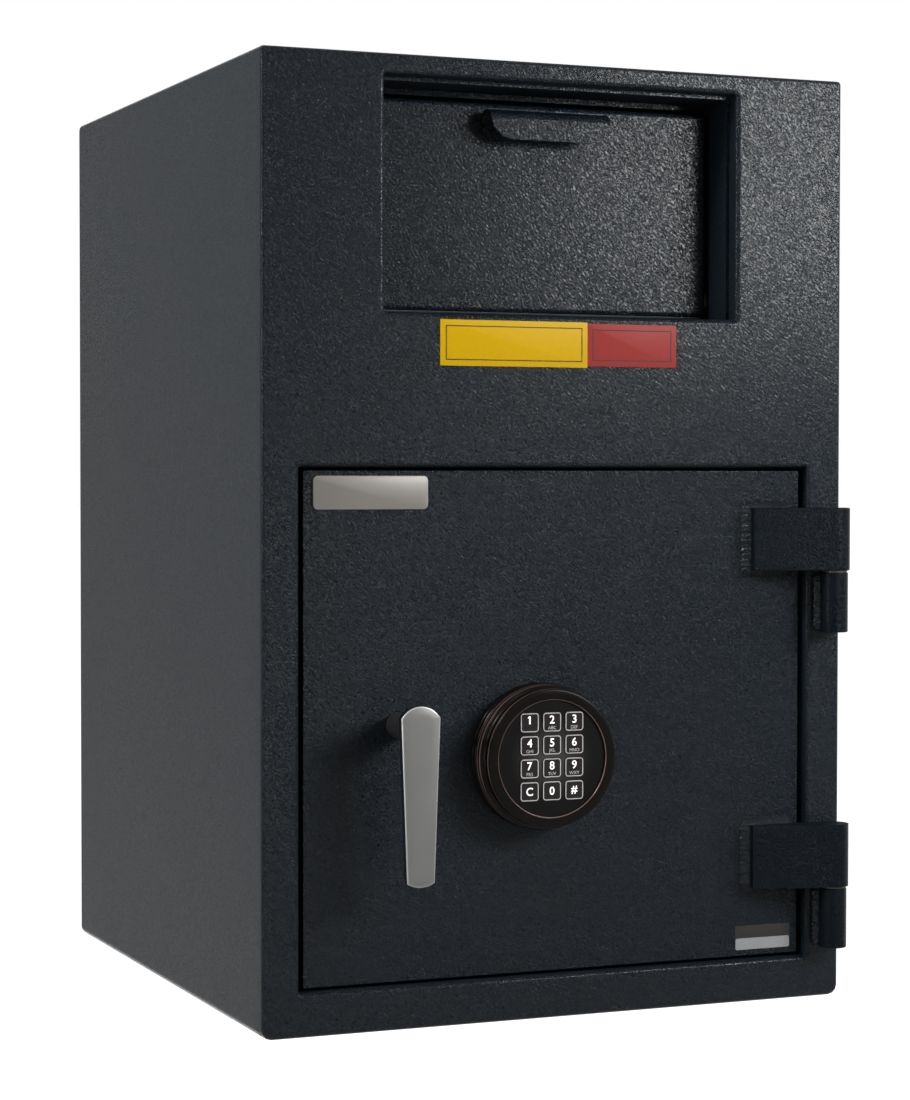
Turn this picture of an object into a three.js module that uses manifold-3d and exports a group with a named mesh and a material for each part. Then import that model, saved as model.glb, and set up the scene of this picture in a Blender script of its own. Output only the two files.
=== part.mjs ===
// A deposit safe with a tilt-out deposit drawer above a hinged door, in millimetres.
// +Z is up, the front looks towards -Y, and the origin is the middle of the base.
import * as THREE from "three";
import { mergeVertices } from "three/addons/utils/BufferGeometryUtils.js";
import Module from "manifold-3d";

// Welded body
const bodyWidth = 508;
const bodyDepth = 533.4;
const bodyHeight = 762;
const bodySheet = 6.35;
const bottomBendRadius = 8.5;
const topEdgeRadius = 3;
const topBackRadius = 7.5;
const bottomBackRadius = 5;
const anchorHoleRadius = 7.2;
const anchorInset = 75;

// Front frame with the door opening and the deposit recess
const frameThickness = 12.7;
const frameEdgeRadius = 3;
const openingEdgeRadius = 4;
const openingCornerRadius = 1.5;
const doorStile = 31;
const doorOpeningHeight = 406.5;
const bottomRail = 34.5;
const jambThickness = 6.35;
const jambDepth = 25.4;
const recessWidth = 308;
const recessHeight = 184;
const recessBelowTop = 16;
const recessOffset = 1.5;

// Deposit chute behind the recess
const linerSheet = 4.8;
const linerInset = 3.3;
const linerDepth = 215;
const linerDrop = 46;
const ledgeDrop = 8;
const ledgeDepth = 43;
const linerSlopeDepth = 107;
const hoodLipBehind = 15;
const hoodLipDrop = 4.5;
const baffleSheet = 3.2;
const baffleTopAngle = 75;
const baffleEndAngle = 20;
const baffleGap = 6;

// Tilt-out deposit drawer
const drawerSetback = 40;
const drawerSheet = 3.2;
const drawerSideGap = 3.5;
const drawerBottomGap = 3.5;
const drawerTopGap = 12.6;
const drawerPanDepth = 26;
const drawerPanEdge = 4.2;
const drawerPanCorner = 3;
const cheekRadius = 150.9;
const cheekSheet = 3;
const pivotBehindPanel = 14;
const pivotAboveEdge = 12;
const floorSheet = 3;
const floorSlope = 20;
const floorDrop = 9;
const drawerTravel = 60;
const stopWidth = 24;
const stopDepth = 12;
const stopSweep = 5;
const stopClearAngle = 0.5;
const stopSpacing = 90;
const pivotPinRadius = 5;
const pivotHeadRadius = 8;
const pivotHeadDepth = 3.5;
const pivotPinEnd = 3;
const bushWall = 2.7;
const bushFlange = 3;

// Bent pull on the drawer front
const pullWidth = 105;
const pullHeight = 24;
const pullReach = 20.8;
const pullSheet = 3;
const pullBend = 8;
const pullCornerRadius = 20;
const pullPlateHeight = 20;
const pullPlateRadius = 3;
const pullBelowTop = 6.9;
const pullOffset = -4;

// Door
const doorSideGap = 4.6;
const doorEndGap = 2.3;
const doorSetback = 6.5;
const doorThickness = 12.7;
const doorEdgeRadius = 1;
const doorCornerRadius = 2;

// Hinges
const barrelRadius = 12.7;
const barrelHeight = 49.5;
const knuckleRadius = 11.2;
const strapHeight = 51.9;
const strapReach = 48;
const strapEndThickness = 11.5;
const strapClearance = 0.5;
const strapBelowTop = 30.6;
const strapAboveBottom = 57.4;
const knuckleFootWidth = 16;
const hingePinRadius = 6.35;
const hingePinDepth = 38;
const washerThickness = 1;
const washerRadius = 10.6;

// Lever handle, its spindle and the cam behind the door
const handleFromEdge = 78.4;
const handleFromBottom = 202.2;
const leverLength = 121;
const leverTopRadius = 18.6;
const leverTopWidth = 32.2;
const leverTipWidth = 22.8;
const leverTipRadius = 21;
const leverThickness = 8;
const leverEdgeRadius = 1.6;
const leverStandoff = 51.5;
const neckRadius = 10.2;
const neckFlareRadius = 15.5;
const neckPlainLength = 14;
const spindleRadius = 6.35;
const spindleBushRadius = 9.5;
const spindleBushFlange = 13;
const spindleFlangeDepth = 2.4;
const camRadius = 21;
const camThickness = 6;
const nutRadius = 9;
const nutThickness = 5;
const drivePinRadius = 4;

// Boltwork on the back of the door
const boltTravel = 19;
const boltRadius = 9.5;
const boltChamfer = 1.5;
const boltSpacing = 135;
const boltTipInset = 6.4;
const carriageThickness = 6;
const carriageWidth = 47;
const carriageEnd = 22;
const carriageCornerRadius = 6;
const carriageClearance = 1.5;
const carriageFromEdge = 53.4;
const guideSheet = 6;
const guideFromEdge = 18.4;
const guideFoot = 26;
const guideDepth = 38;
const guideEnd = 24;
const studRadius = 4;
const studHeadRadius = 8;
const studHeadDepth = 3.5;
const studSpacing = 92;
const studInset = 13;
const armHeight = 22;
const armGap = 1.5;
const deadBarSheet = 6;
const deadBarFoot = 28;
const deadBarReach = 11;
const deadBarFromEdge = 5;
const deadBarRise = 12;

// Electronic lock dial on the front of the door
const dialFromEdge = 199.4;
const dialFromBottom = 173.9;
const dialBaseRadius = 58.7;
const dialBaseThickness = 4;
const dialDepth = 28.5;
const dialWebThickness = 4;
const faceRadius = 47.8;
const faceThickness = 3;
const faceRimWall = 1.6;
const faceRecess = 2.2;
const dialSpindleRadius = 4;
const dialSpindleHole = 6;

// Keys
const keyWidth = 16;
const keyHeight = 15.4;
const keyPitchAcross = 19.4;
const keyPitchUp = 18.2;
const keysAboveMiddle = 1.7;
const keyCornerRadius = 2.6;
const keyProud = 0.7;
const keyEdgeRadius = 0.5;
const keySkirt = 0.9;
const keySkirtThickness = 1.2;
const keyColumns = 3;
const keyRows = 4;
const keyNames = [
  ["1", "2", "3"],
  ["4", "5", "6"],
  ["7", "8", "9"],
  ["clear", "0", "enter"],
];

// Lock case behind the dial
const lockWidth = 60;
const lockHeight = 84;
const lockDepth = 31;
const lockCornerRadius = 5;
const lockSpindleDepth = 12;
const lockBoltHeight = 25;
const lockBoltDepth = 9.5;
const lockBoltLength = 34;
const lockBoltProud = 2;
const lockBoltTravel = 9;

// Shared clearances and the overrun of every cut
const fitGap = 0.3;
const slotGap = 0.8;
const overrun = 5;
const cornerSteps = 3;
const keySteps = 2;
const roundSteps = 24;
const dialSteps = 48;

const wasm = await Module();
wasm.setup();

const frontY = -bodyDepth / 2;
const backY = bodyDepth / 2;
const degrees = Math.PI / 180;
const quarterTurn = 90;

// Finishes, one for each kind of surface
const finishes = {
  paint: { color: 0x2b2f34, roughness: 0.55, metalness: 0.25 },
  satin: { color: 0x9a9a98, roughness: 0.38, metalness: 0.85 },
  bronze: { color: 0x241b18, roughness: 0.25, metalness: 0.4 },
  faceBlack: { color: 0x242120, roughness: 0.5, metalness: 0 },
  keyBlack: { color: 0x1a1716, roughness: 0.45, metalness: 0 },
  steel: { color: 0xb0b2b4, roughness: 0.3, metalness: 0.95 },
  zinc: { color: 0x8f9294, roughness: 0.45, metalness: 0.8 },
  brass: { color: 0xb08d4a, roughness: 0.35, metalness: 0.9 },
};

// Solids and meshes

/** A closed geometry as a solid, ready to be joined or cut. */
function solidOf(geometry) {
  const plain = geometry.index ? geometry.toNonIndexed() : geometry.clone();
  plain.deleteAttribute("normal");
  plain.deleteAttribute("uv");
  const merged = mergeVertices(plain);
  return new wasm.Manifold(
    new wasm.Mesh({
      numProp: 3,
      vertProperties: merged.attributes.position.array,
      triVerts: new Uint32Array(merged.index.array),
    }),
  );
}

/** A solid as a flat-shaded geometry. */
function geometryOf(solid) {
  const mesh = solid.getMesh();
  const geometry = new THREE.BufferGeometry();
  const position = new THREE.BufferAttribute(mesh.vertProperties, mesh.numProp);
  geometry.setAttribute("position", position);
  geometry.setIndex(new THREE.BufferAttribute(mesh.triVerts, 1));
  const flat = geometry.toNonIndexed();
  flat.computeVertexNormals();
  return flat;
}

/** One named piece, added to its group. */
function addPiece(parent, name, solid, finish) {
  const material = new THREE.MeshStandardMaterial(finishes[finish]);
  const piece = new THREE.Mesh(geometryOf(solid), material);
  piece.name = name;
  parent.add(piece);
  return piece;
}

// Outlines

/** A rounded rectangle about a centre, anticlockwise, with one radius above and one below. */
function roundedOutline(width, height, topRadius, bottomRadius, centre, steps = cornerSteps) {
  const points = [];
  const corners = [
    { sideways: 1, upwards: -1, radius: bottomRadius, start: -Math.PI / 2 },
    { sideways: 1, upwards: 1, radius: topRadius, start: 0 },
    { sideways: -1, upwards: 1, radius: topRadius, start: Math.PI / 2 },
    { sideways: -1, upwards: -1, radius: bottomRadius, start: Math.PI },
  ];
  for (const corner of corners) {
    const cornerX = centre.x + corner.sideways * (width / 2 - corner.radius);
    const cornerZ = centre.y + corner.upwards * (height / 2 - corner.radius);
    for (let step = 0; step <= steps; step += 1) {
      const angle = corner.start + (step / steps) * (Math.PI / 2);
      const x = cornerX + corner.radius * Math.cos(angle);
      const z = cornerZ + corner.radius * Math.sin(angle);
      points.push(new THREE.Vector2(x, z));
    }
  }
  return points;
}

/** Joins like outlines, each at its own depth, into one closed shell along Y. */
function loftAlongY(sections) {
  const count = sections[0].points.length;
  const positions = [];
  const indices = [];
  for (const section of sections) {
    for (const point of section.points) {
      positions.push(point.x, section.at, point.y);
    }
  }
  for (let row = 0; row + 1 < sections.length; row += 1) {
    for (let i = 0; i < count; i += 1) {
      const a = row * count + i;
      const b = row * count + ((i + 1) % count);
      const c = b + count;
      const d = a + count;
      indices.push(a, c, b, a, d, c);
    }
  }
  const last = (sections.length - 1) * count;
  for (let i = 1; i + 1 < count; i += 1) {
    indices.push(0, i, i + 1);
    indices.push(last, last + i + 1, last + i);
  }
  const geometry = new THREE.BufferGeometry();
  geometry.setAttribute("position", new THREE.Float32BufferAttribute(positions, 3));
  geometry.setIndex(indices);
  return solidOf(geometry);
}

/** Depth and inset of each step round a quarter-round edge, from the face inwards. */
function edgeSteps(radius, steps = cornerSteps) {
  const places = [];
  for (let step = 0; step <= steps; step += 1) {
    const angle = (step / steps) * (Math.PI / 2);
    const depth = radius * (1 - Math.cos(angle));
    const inset = radius * (1 - Math.sin(angle));
    places.push({ depth, inset });
  }
  return places;
}

/** A plate along Y whose front edge is rounded all round. */
function roundedPlate(size, front, back, edgeRadius, steps = cornerSteps) {
  const least = edgeRadius / cornerSteps;
  const outlineAt = (inset) =>
    roundedOutline(
      size.width - 2 * inset,
      size.height - 2 * inset,
      Math.max(size.topRadius - inset, least),
      Math.max(size.bottomRadius - inset, least),
      size.centre,
      steps,
    );
  const sections = edgeSteps(edgeRadius, steps).map(({ depth, inset }) => ({
    at: front + depth,
    points: outlineAt(inset),
  }));
  sections.push({ at: back, points: outlineAt(0) });
  return loftAlongY(sections);
}

/** The cut that leaves an opening with a rounded entry at the front. */
function openingCut(width, height, centre, front, back, edgeRadius) {
  const sizes = edgeSteps(edgeRadius);
  const outlineAt = (grow) =>
    roundedOutline(
      width + 2 * grow,
      height + 2 * grow,
      openingCornerRadius + grow,
      openingCornerRadius + grow,
      centre,
    );
  const sections = [{ at: front - overrun, points: outlineAt(edgeRadius) }];
  for (const { depth, inset } of sizes) {
    sections.push({ at: front + depth, points: outlineAt(inset) });
  }
  sections.push({ at: back, points: outlineAt(0) });
  return loftAlongY(sections);
}

// Prisms and rods

/** A shape drawn in X and Z, extruded along Y. */
function prismAlongY(shape, from, to) {
  const geometry = new THREE.ExtrudeGeometry(shape, {
    depth: to - from,
    bevelEnabled: false,
    curveSegments: cornerSteps * 2,
  });
  geometry.rotateX(Math.PI / 2);
  geometry.translate(0, to, 0);
  return solidOf(geometry);
}

/** A shape drawn in Y and Z, extruded along X. */
function prismAlongX(shape, from, to) {
  const geometry = new THREE.ExtrudeGeometry(shape, {
    depth: to - from,
    bevelEnabled: false,
    curveSegments: cornerSteps * 4,
  });
  const turn = new THREE.Matrix4().set(0, 0, 1, 0, 1, 0, 0, 0, 0, 1, 0, 0, 0, 0, 0, 1);
  geometry.applyMatrix4(turn);
  geometry.translate(from, 0, 0);
  return solidOf(geometry);
}

/** A shape drawn in X and Y, extruded along Z. */
function prismAlongZ(shape, from, to) {
  const geometry = new THREE.ExtrudeGeometry(shape, {
    depth: to - from,
    bevelEnabled: false,
    curveSegments: cornerSteps * 3,
  });
  geometry.translate(0, 0, from);
  return solidOf(geometry);
}

/** A box between two corners. */
function boxBetween(low, high) {
  const geometry = new THREE.BoxGeometry(high[0] - low[0], high[1] - low[1], high[2] - low[2]);
  geometry.translate((low[0] + high[0]) / 2, (low[1] + high[1]) / 2, (low[2] + high[2]) / 2);
  return solidOf(geometry);
}

/** A round bar along one axis between two places, with its middle at the other two. */
function rod(axis, radius, from, to, middle, steps = roundSteps) {
  const geometry = new THREE.CylinderGeometry(radius, radius, to - from, steps);
  geometry.translate(0, (from + to) / 2, 0);
  if (axis === "x") geometry.rotateZ(-Math.PI / 2);
  if (axis === "z") geometry.rotateX(Math.PI / 2);
  geometry.translate(middle.x || 0, middle.y || 0, middle.z || 0);
  return solidOf(geometry);
}

/** A profile of radius and place along Y, turned about an axis at x and z. */
function turnedAlongY(profile, middle, steps = roundSteps) {
  const geometry = new THREE.LatheGeometry(profile, steps);
  geometry.translate(middle.x, 0, middle.z);
  return solidOf(geometry);
}

/** A closed outline from a list of corners. */
function polygon(corners) {
  return new THREE.Shape(corners.map(([a, b]) => new THREE.Vector2(a, b)));
}

/** The points of an arc about a centre, by angles in degrees. */
function arcPoints(centre, radius, fromAngle, toAngle, steps) {
  const points = [];
  for (let step = 0; step <= steps; step += 1) {
    const angle = (fromAngle + ((toAngle - fromAngle) * step) / steps) * degrees;
    points.push([centre[0] + radius * Math.cos(angle), centre[1] + radius * Math.sin(angle)]);
  }
  return points;
}

// Places that several pieces share

const doorOpeningWidth = bodyWidth - 2 * doorStile;
const doorWidth = doorOpeningWidth - 2 * doorSideGap;
const doorHeight = doorOpeningHeight - 2 * doorEndGap;
const doorBottom = bottomRail + doorEndGap;
const doorTop = doorBottom + doorHeight;
const doorMiddle = (doorBottom + doorTop) / 2;
const doorLeft = -doorWidth / 2;
const doorRight = doorWidth / 2;
const doorFace = frontY + doorSetback;
const doorBack = doorFace + doorThickness;
const recessTop = bodyHeight - recessBelowTop;
const recessBottom = recessTop - recessHeight;
const recessMiddle = (recessTop + recessBottom) / 2;
const frameBack = frontY + frameThickness;
const linerHalf = recessWidth / 2 - linerInset;
const ceiling = recessTop - linerInset;
const drawerHalf = linerHalf - drawerSideGap;
const drawerFace = frontY + drawerSetback;
const drawerBottom = recessBottom + drawerBottomGap;
const drawerTop = recessTop - drawerTopGap;
const pivot = [drawerFace + pivotBehindPanel, drawerBottom + pivotAboveEdge];
const upperStrapBottom = doorTop - strapBelowTop - strapHeight;
const lowerStrapBottom = doorBottom + strapAboveBottom;
const hingeX = bodyWidth / 2 - barrelRadius;
const hingeY = frontY - barrelRadius - strapClearance;
const handleX = doorLeft + handleFromEdge;
const handleZ = doorBottom + handleFromBottom;
const dialX = doorLeft + dialFromEdge;
const dialZ = doorBottom + dialFromBottom;

/** A place at a radius and an angle, in degrees above the rearward level, about the pivot. */
function aboutPivot(radius, angle) {
  const y = pivot[0] + radius * Math.cos(angle * degrees);
  const z = pivot[1] + radius * Math.sin(angle * degrees);
  return [y, z];
}

// Body

/** Outline of the side of the safe, with its rounded back edges. */
function sideOutline() {
  const shape = new THREE.Shape();
  shape.moveTo(frameBack, 0);
  shape.lineTo(backY - bottomBackRadius, 0);
  shape.absarc(backY - bottomBackRadius, bottomBackRadius, bottomBackRadius, -Math.PI / 2, 0, false);
  shape.lineTo(backY, bodyHeight - topBackRadius);
  const topBackZ = bodyHeight - topBackRadius;
  shape.absarc(backY - topBackRadius, topBackZ, topBackRadius, 0, Math.PI / 2, false);
  shape.lineTo(frameBack, bodyHeight);
  return shape;
}

/** Section through the sides and the bottom, one sheet bent up at both sides. */
function wrapSection() {
  const half = bodyWidth / 2;
  const inner = half - bodySheet;
  const innerBend = bottomBendRadius - bodySheet;
  const shape = new THREE.Shape();
  shape.moveTo(-half + bottomBendRadius, 0);
  shape.lineTo(half - bottomBendRadius, 0);
  shape.absarc(half - bottomBendRadius, bottomBendRadius, bottomBendRadius, -Math.PI / 2, 0, false);
  shape.lineTo(half, bodyHeight - topEdgeRadius);
  shape.absarc(half - topEdgeRadius, bodyHeight - topEdgeRadius, topEdgeRadius, 0, Math.PI / 2, false);
  shape.lineTo(inner, bodyHeight);
  shape.lineTo(inner, bottomBendRadius);
  shape.absarc(inner - innerBend, bottomBendRadius, innerBend, 0, -Math.PI / 2, true);
  shape.lineTo(-inner + innerBend, bodySheet);
  shape.absarc(-inner + innerBend, bottomBendRadius, innerBend, -Math.PI / 2, -Math.PI, true);
  shape.lineTo(-inner, bodyHeight);
  shape.lineTo(-half + topEdgeRadius, bodyHeight);
  shape.absarc(
    -half + topEdgeRadius,
    bodyHeight - topEdgeRadius,
    topEdgeRadius,
    Math.PI / 2,
    Math.PI,
    false,
  );
  shape.lineTo(-half, bottomBendRadius);
  shape.absarc(-half + bottomBendRadius, bottomBendRadius, bottomBendRadius, Math.PI, 1.5 * Math.PI, false);
  return shape;
}

function makeBodyWrap() {
  const sheet = prismAlongY(wrapSection(), frameBack, backY);
  const trimmed = sheet.intersect(prismAlongX(sideOutline(), -bodyWidth, bodyWidth));
  const holeX = bodyWidth / 2 - anchorInset;
  const holeY = bodyDepth / 2 - anchorInset;
  let wrap = trimmed;
  for (const x of [-holeX, holeX]) {
    for (const y of [-holeY, holeY]) {
      wrap = wrap.subtract(rod("z", anchorHoleRadius, -overrun, bodySheet + overrun, { x, y }));
    }
  }
  return wrap;
}

/** Top and back, one sheet bent over the rear top edge, between the sides. */
function makeTopBack() {
  const inner = bodyWidth / 2 - bodySheet;
  const innerBend = topBackRadius - bodySheet;
  const shape = new THREE.Shape();
  const bendY = backY - topBackRadius;
  const bendZ = bodyHeight - topBackRadius;
  shape.moveTo(backY - bodySheet, bodySheet);
  shape.lineTo(backY, bodySheet);
  shape.lineTo(backY, bendZ);
  shape.absarc(bendY, bendZ, topBackRadius, 0, Math.PI / 2, false);
  shape.lineTo(frameBack, bodyHeight);
  shape.lineTo(frameBack, bodyHeight - bodySheet);
  shape.lineTo(bendY, bodyHeight - bodySheet);
  shape.absarc(bendY, bendZ, innerBend, Math.PI / 2, 0, true);
  const cornerCut = bottomBendRadius - bodySheet;
  const between = polygon([
    [-inner + cornerCut, bodySheet],
    [inner - cornerCut, bodySheet],
    [inner, bodySheet + cornerCut],
    [inner, bodyHeight],
    [-inner, bodyHeight],
    [-inner, bodySheet + cornerCut],
  ]);
  return prismAlongX(shape, -inner, inner).intersect(prismAlongY(between, frameBack, backY));
}

function makeFrontFrame() {
  const plate = roundedPlate(
    {
      width: bodyWidth,
      height: bodyHeight,
      topRadius: topEdgeRadius,
      bottomRadius: bottomBendRadius,
      centre: new THREE.Vector2(0, bodyHeight / 2),
    },
    frontY,
    frameBack,
    frameEdgeRadius,
  );
  const doorCentre = new THREE.Vector2(0, bottomRail + doorOpeningHeight / 2);
  const jambShape = new THREE.Shape(
    roundedOutline(
      doorOpeningWidth + 2 * jambThickness,
      doorOpeningHeight + 2 * jambThickness,
      jambThickness,
      jambThickness,
      doorCentre,
    ),
  );
  const jamb = prismAlongY(jambShape, frameBack - frameThickness / 2, frontY + jambDepth);
  const doorCut = openingCut(
    doorOpeningWidth,
    doorOpeningHeight,
    doorCentre,
    frontY,
    frontY + jambDepth + overrun,
    openingEdgeRadius,
  );
  const recessCut = openingCut(
    recessWidth,
    recessHeight,
    new THREE.Vector2(recessOffset, recessMiddle),
    frontY,
    frameBack + overrun,
    openingEdgeRadius,
  );
  return plate.add(jamb).subtract(doorCut).subtract(recessCut);
}

// Deposit chute

function makeLiner() {
  const outer = linerHalf + linerSheet;
  const top = ceiling + linerSheet;
  const ledgeTop = recessBottom - ledgeDrop;
  const ledgeBottom = ledgeTop - linerSheet;
  const low = ledgeBottom - linerDrop;
  const back = frontY + linerDepth;
  const side = polygon([
    [frameBack, ledgeBottom],
    [frameBack + ledgeDepth, ledgeBottom],
    [frameBack + linerSlopeDepth, low],
    [back, low],
    [back, top],
    [frameBack, top],
  ]);
  const baffleFace = aboutPivot(cheekRadius + baffleGap, baffleTopAngle)[0];
  const ceilingPlate = boxBetween(
    [-outer, frameBack, ceiling],
    [outer, baffleFace + baffleSheet + linerSheet, top],
  );
  const ledge = boxBetween([-outer, frameBack, ledgeBottom], [outer, frameBack + ledgeDepth, ledgeTop]);
  const lipFace = drawerFace + hoodLipBehind;
  const lip = boxBetween([-outer, lipFace, ceiling - hoodLipDrop], [outer, lipFace + linerSheet, top]);
  let liner = ceilingPlate.add(ledge).add(lip);
  for (const sign of [-1, 1]) {
    const from = Math.min(sign * linerHalf, sign * outer);
    liner = liner.add(prismAlongX(side, from, from + linerSheet));
  }
  const bushHole = pivotPinRadius + fitGap + bushWall + fitGap;
  return liner.subtract(pivotBore(bushHole, outer + overrun));
}

/** A bore along the drawer's pivot axis, through both sides. */
function pivotBore(radius, halfLength) {
  return rod("x", radius, -halfLength, halfLength, { y: pivot[0], z: pivot[1] });
}

/** Curved plate that keeps hands out of the safe while the drawer is open. */
function makeBaffle() {
  const inner = cheekRadius + baffleGap;
  const outer = inner + baffleSheet;
  const face = aboutPivot(inner, baffleTopAngle)[0];
  const outerTopAngle = Math.acos((face + baffleSheet - pivot[0]) / outer) / degrees;
  const arcSteps = cornerSteps * 3;
  const corners = [[face, ceiling]];
  corners.push(...arcPoints(pivot, inner, baffleTopAngle, baffleEndAngle, arcSteps));
  corners.push(...arcPoints(pivot, outer, baffleEndAngle, outerTopAngle, arcSteps));
  corners.push([face + baffleSheet, ceiling]);
  return prismAlongX(polygon(corners), -linerHalf, linerHalf);
}

/** Small stop inside the baffle that the drawer floor meets when fully open. */
function makeDrawerStop(x) {
  const outer = cheekRadius + baffleGap - fitGap;
  const inner = outer - stopDepth;
  const low = drawerTravel - floorSlope + stopClearAngle;
  const corners = [
    ...arcPoints(pivot, outer, low, low + stopSweep, cornerSteps),
    ...arcPoints(pivot, inner, low + stopSweep, low, cornerSteps),
  ];
  return prismAlongX(polygon(corners), x - stopWidth / 2, x + stopWidth / 2);
}

/** Flanged bush in one side of the chute; sign tells the side. */
function makePivotBush(sign) {
  const bore = pivotPinRadius + fitGap;
  const outside = linerHalf + linerSheet;
  const flangeFrom = linerHalf - bushFlange;
  const along = (radius, from, to) => {
    const ends = [sign * from, sign * to].sort((a, b) => a - b);
    return rod("x", radius, ends[0], ends[1], { y: pivot[0], z: pivot[1] });
  };
  const sleeve = along(bore + bushWall, flangeFrom, outside);
  const flange = along(bore + 2 * bushWall, flangeFrom, linerHalf - fitGap);
  return sleeve.add(flange).subtract(along(bore, flangeFrom - overrun, outside + overrun));
}

// Deposit drawer

function makeDrawerFront() {
  const size = {
    width: 2 * drawerHalf,
    height: drawerTop - drawerBottom,
    topRadius: drawerPanCorner,
    bottomRadius: drawerPanCorner,
    centre: new THREE.Vector2(0, (drawerTop + drawerBottom) / 2),
  };
  const outer = roundedPlate(size, drawerFace, drawerFace + drawerPanDepth, drawerPanEdge);
  const pocket = boxBetween(
    [-drawerHalf + drawerSheet, drawerFace + drawerSheet, drawerBottom - overrun],
    [drawerHalf - drawerSheet, drawerFace + drawerPanDepth + overrun, drawerTop - drawerSheet],
  );
  return outer.subtract(pocket).subtract(pivotBore(pivotPinRadius + fitGap, drawerHalf + overrun));
}

/** The upper and lower lines of the drawer floor, from the panel to the rear edge. */
function floorLines() {
  const inside = drawerFace + drawerSheet;
  const start = [inside, pivot[1] - floorDrop];
  const tip = aboutPivot(cheekRadius, -floorSlope);
  const slope = Math.atan2(tip[1] - start[1], tip[0] - start[0]);
  const under = ([y, z]) => [y, z - floorSheet / Math.cos(slope)];
  return { start, tip, underStart: under(start), underTip: under(tip) };
}

function makeDrawerFloor() {
  const { start, tip, underStart, underTip } = floorLines();
  const half = drawerHalf - drawerSheet - cheekSheet;
  return prismAlongX(polygon([start, underStart, underTip, tip]), -half, half);
}

/** Sector-shaped side of the drawer; sign tells the side. */
function makeCheek(sign) {
  const { start, tip, underStart, underTip } = floorLines();
  const topAngle = Math.acos((start[0] - pivot[0]) / cheekRadius) / degrees;
  const corners = [underTip, tip];
  const arc = arcPoints(pivot, cheekRadius, -floorSlope, topAngle, cornerSteps * 5);
  corners.push(...arc.slice(1));
  corners.push(start, underStart);
  const outside = drawerHalf - drawerSheet;
  const from = Math.min(sign * outside, sign * (outside - cheekSheet));
  const plate = prismAlongX(polygon(corners), from, from + cheekSheet);
  return plate.subtract(pivotBore(pivotPinRadius + fitGap, drawerHalf));
}

/** Headed pin that carries one side of the drawer; sign tells the side. */
function makePivotPin(sign) {
  const headFace = drawerHalf - drawerSheet - cheekSheet;
  const along = (radius, from, to) => {
    const ends = [sign * from, sign * to].sort((a, b) => a - b);
    return rod("x", radius, ends[0], ends[1], { y: pivot[0], z: pivot[1] });
  };
  const shank = along(pivotPinRadius, headFace - pivotHeadDepth / 2, linerHalf + linerSheet + pivotPinEnd);
  const head = along(pivotHeadRadius, headFace - pivotHeadDepth, headFace);
  return shank.add(head);
}

/** Outline of the pull as seen from the front, with its two lower corners rounded. */
function pullOutline(low, cornerRadius) {
  const half = pullWidth / 2;
  const above = drawerTop;
  const middle = low + cornerRadius;
  const outline = new THREE.Shape();
  outline.moveTo(-half + cornerRadius, low);
  outline.lineTo(half - cornerRadius, low);
  outline.absarc(half - cornerRadius, middle, cornerRadius, -Math.PI / 2, 0, false);
  outline.lineTo(half, above);
  outline.lineTo(-half, above);
  outline.lineTo(-half, middle);
  outline.absarc(-half + cornerRadius, middle, cornerRadius, Math.PI, 1.5 * Math.PI, false);
  return outline;
}

/** Bent pull: a plate on the drawer front, a web forward and a flap hanging down. */
function makePull() {
  const back = drawerFace;
  const front = back - pullReach;
  const top = drawerTop - pullBelowTop;
  const low = top - pullHeight;
  const plateLow = top - pullPlateHeight;
  const innerBend = pullBend - pullSheet;
  const section = new THREE.Shape();
  section.moveTo(back, plateLow);
  section.lineTo(back, top - pullBend);
  section.absarc(back - pullBend, top - pullBend, pullBend, 0, Math.PI / 2, false);
  section.lineTo(front + pullBend, top);
  section.absarc(front + pullBend, top - pullBend, pullBend, Math.PI / 2, Math.PI, false);
  section.lineTo(front, low);
  section.lineTo(front + pullSheet, low);
  section.lineTo(front + pullSheet, top - pullBend);
  section.absarc(front + pullBend, top - pullBend, innerBend, Math.PI, Math.PI / 2, true);
  section.lineTo(back - pullBend, top - pullSheet);
  section.absarc(back - pullBend, top - pullBend, innerBend, Math.PI / 2, 0, true);
  section.lineTo(back - pullSheet, plateLow);
  const channel = prismAlongX(section, -pullWidth / 2, pullWidth / 2);
  const halfway = (front + back) / 2;
  const flapSide = prismAlongY(pullOutline(low, pullCornerRadius), front - overrun, halfway);
  const plateSide = prismAlongY(pullOutline(plateLow, pullPlateRadius), halfway, back + overrun);
  return channel.intersect(flapSide.add(plateSide));
}

// Door and hinges

function makeDoorPlate() {
  const plate = roundedPlate(
    {
      width: doorWidth,
      height: doorHeight,
      topRadius: doorCornerRadius,
      bottomRadius: doorCornerRadius,
      centre: new THREE.Vector2(0, doorMiddle),
    },
    doorFace,
    doorBack,
    doorEdgeRadius,
  );
  const spindleHole = rod("y", spindleBushRadius + fitGap, doorFace - overrun, doorBack + overrun, {
    x: handleX,
    z: handleZ,
  });
  const dialHole = rod("y", dialSpindleHole, doorFace - overrun, doorBack + overrun, { x: dialX, z: dialZ });
  return plate.subtract(spindleHole).subtract(dialHole);
}

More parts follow.
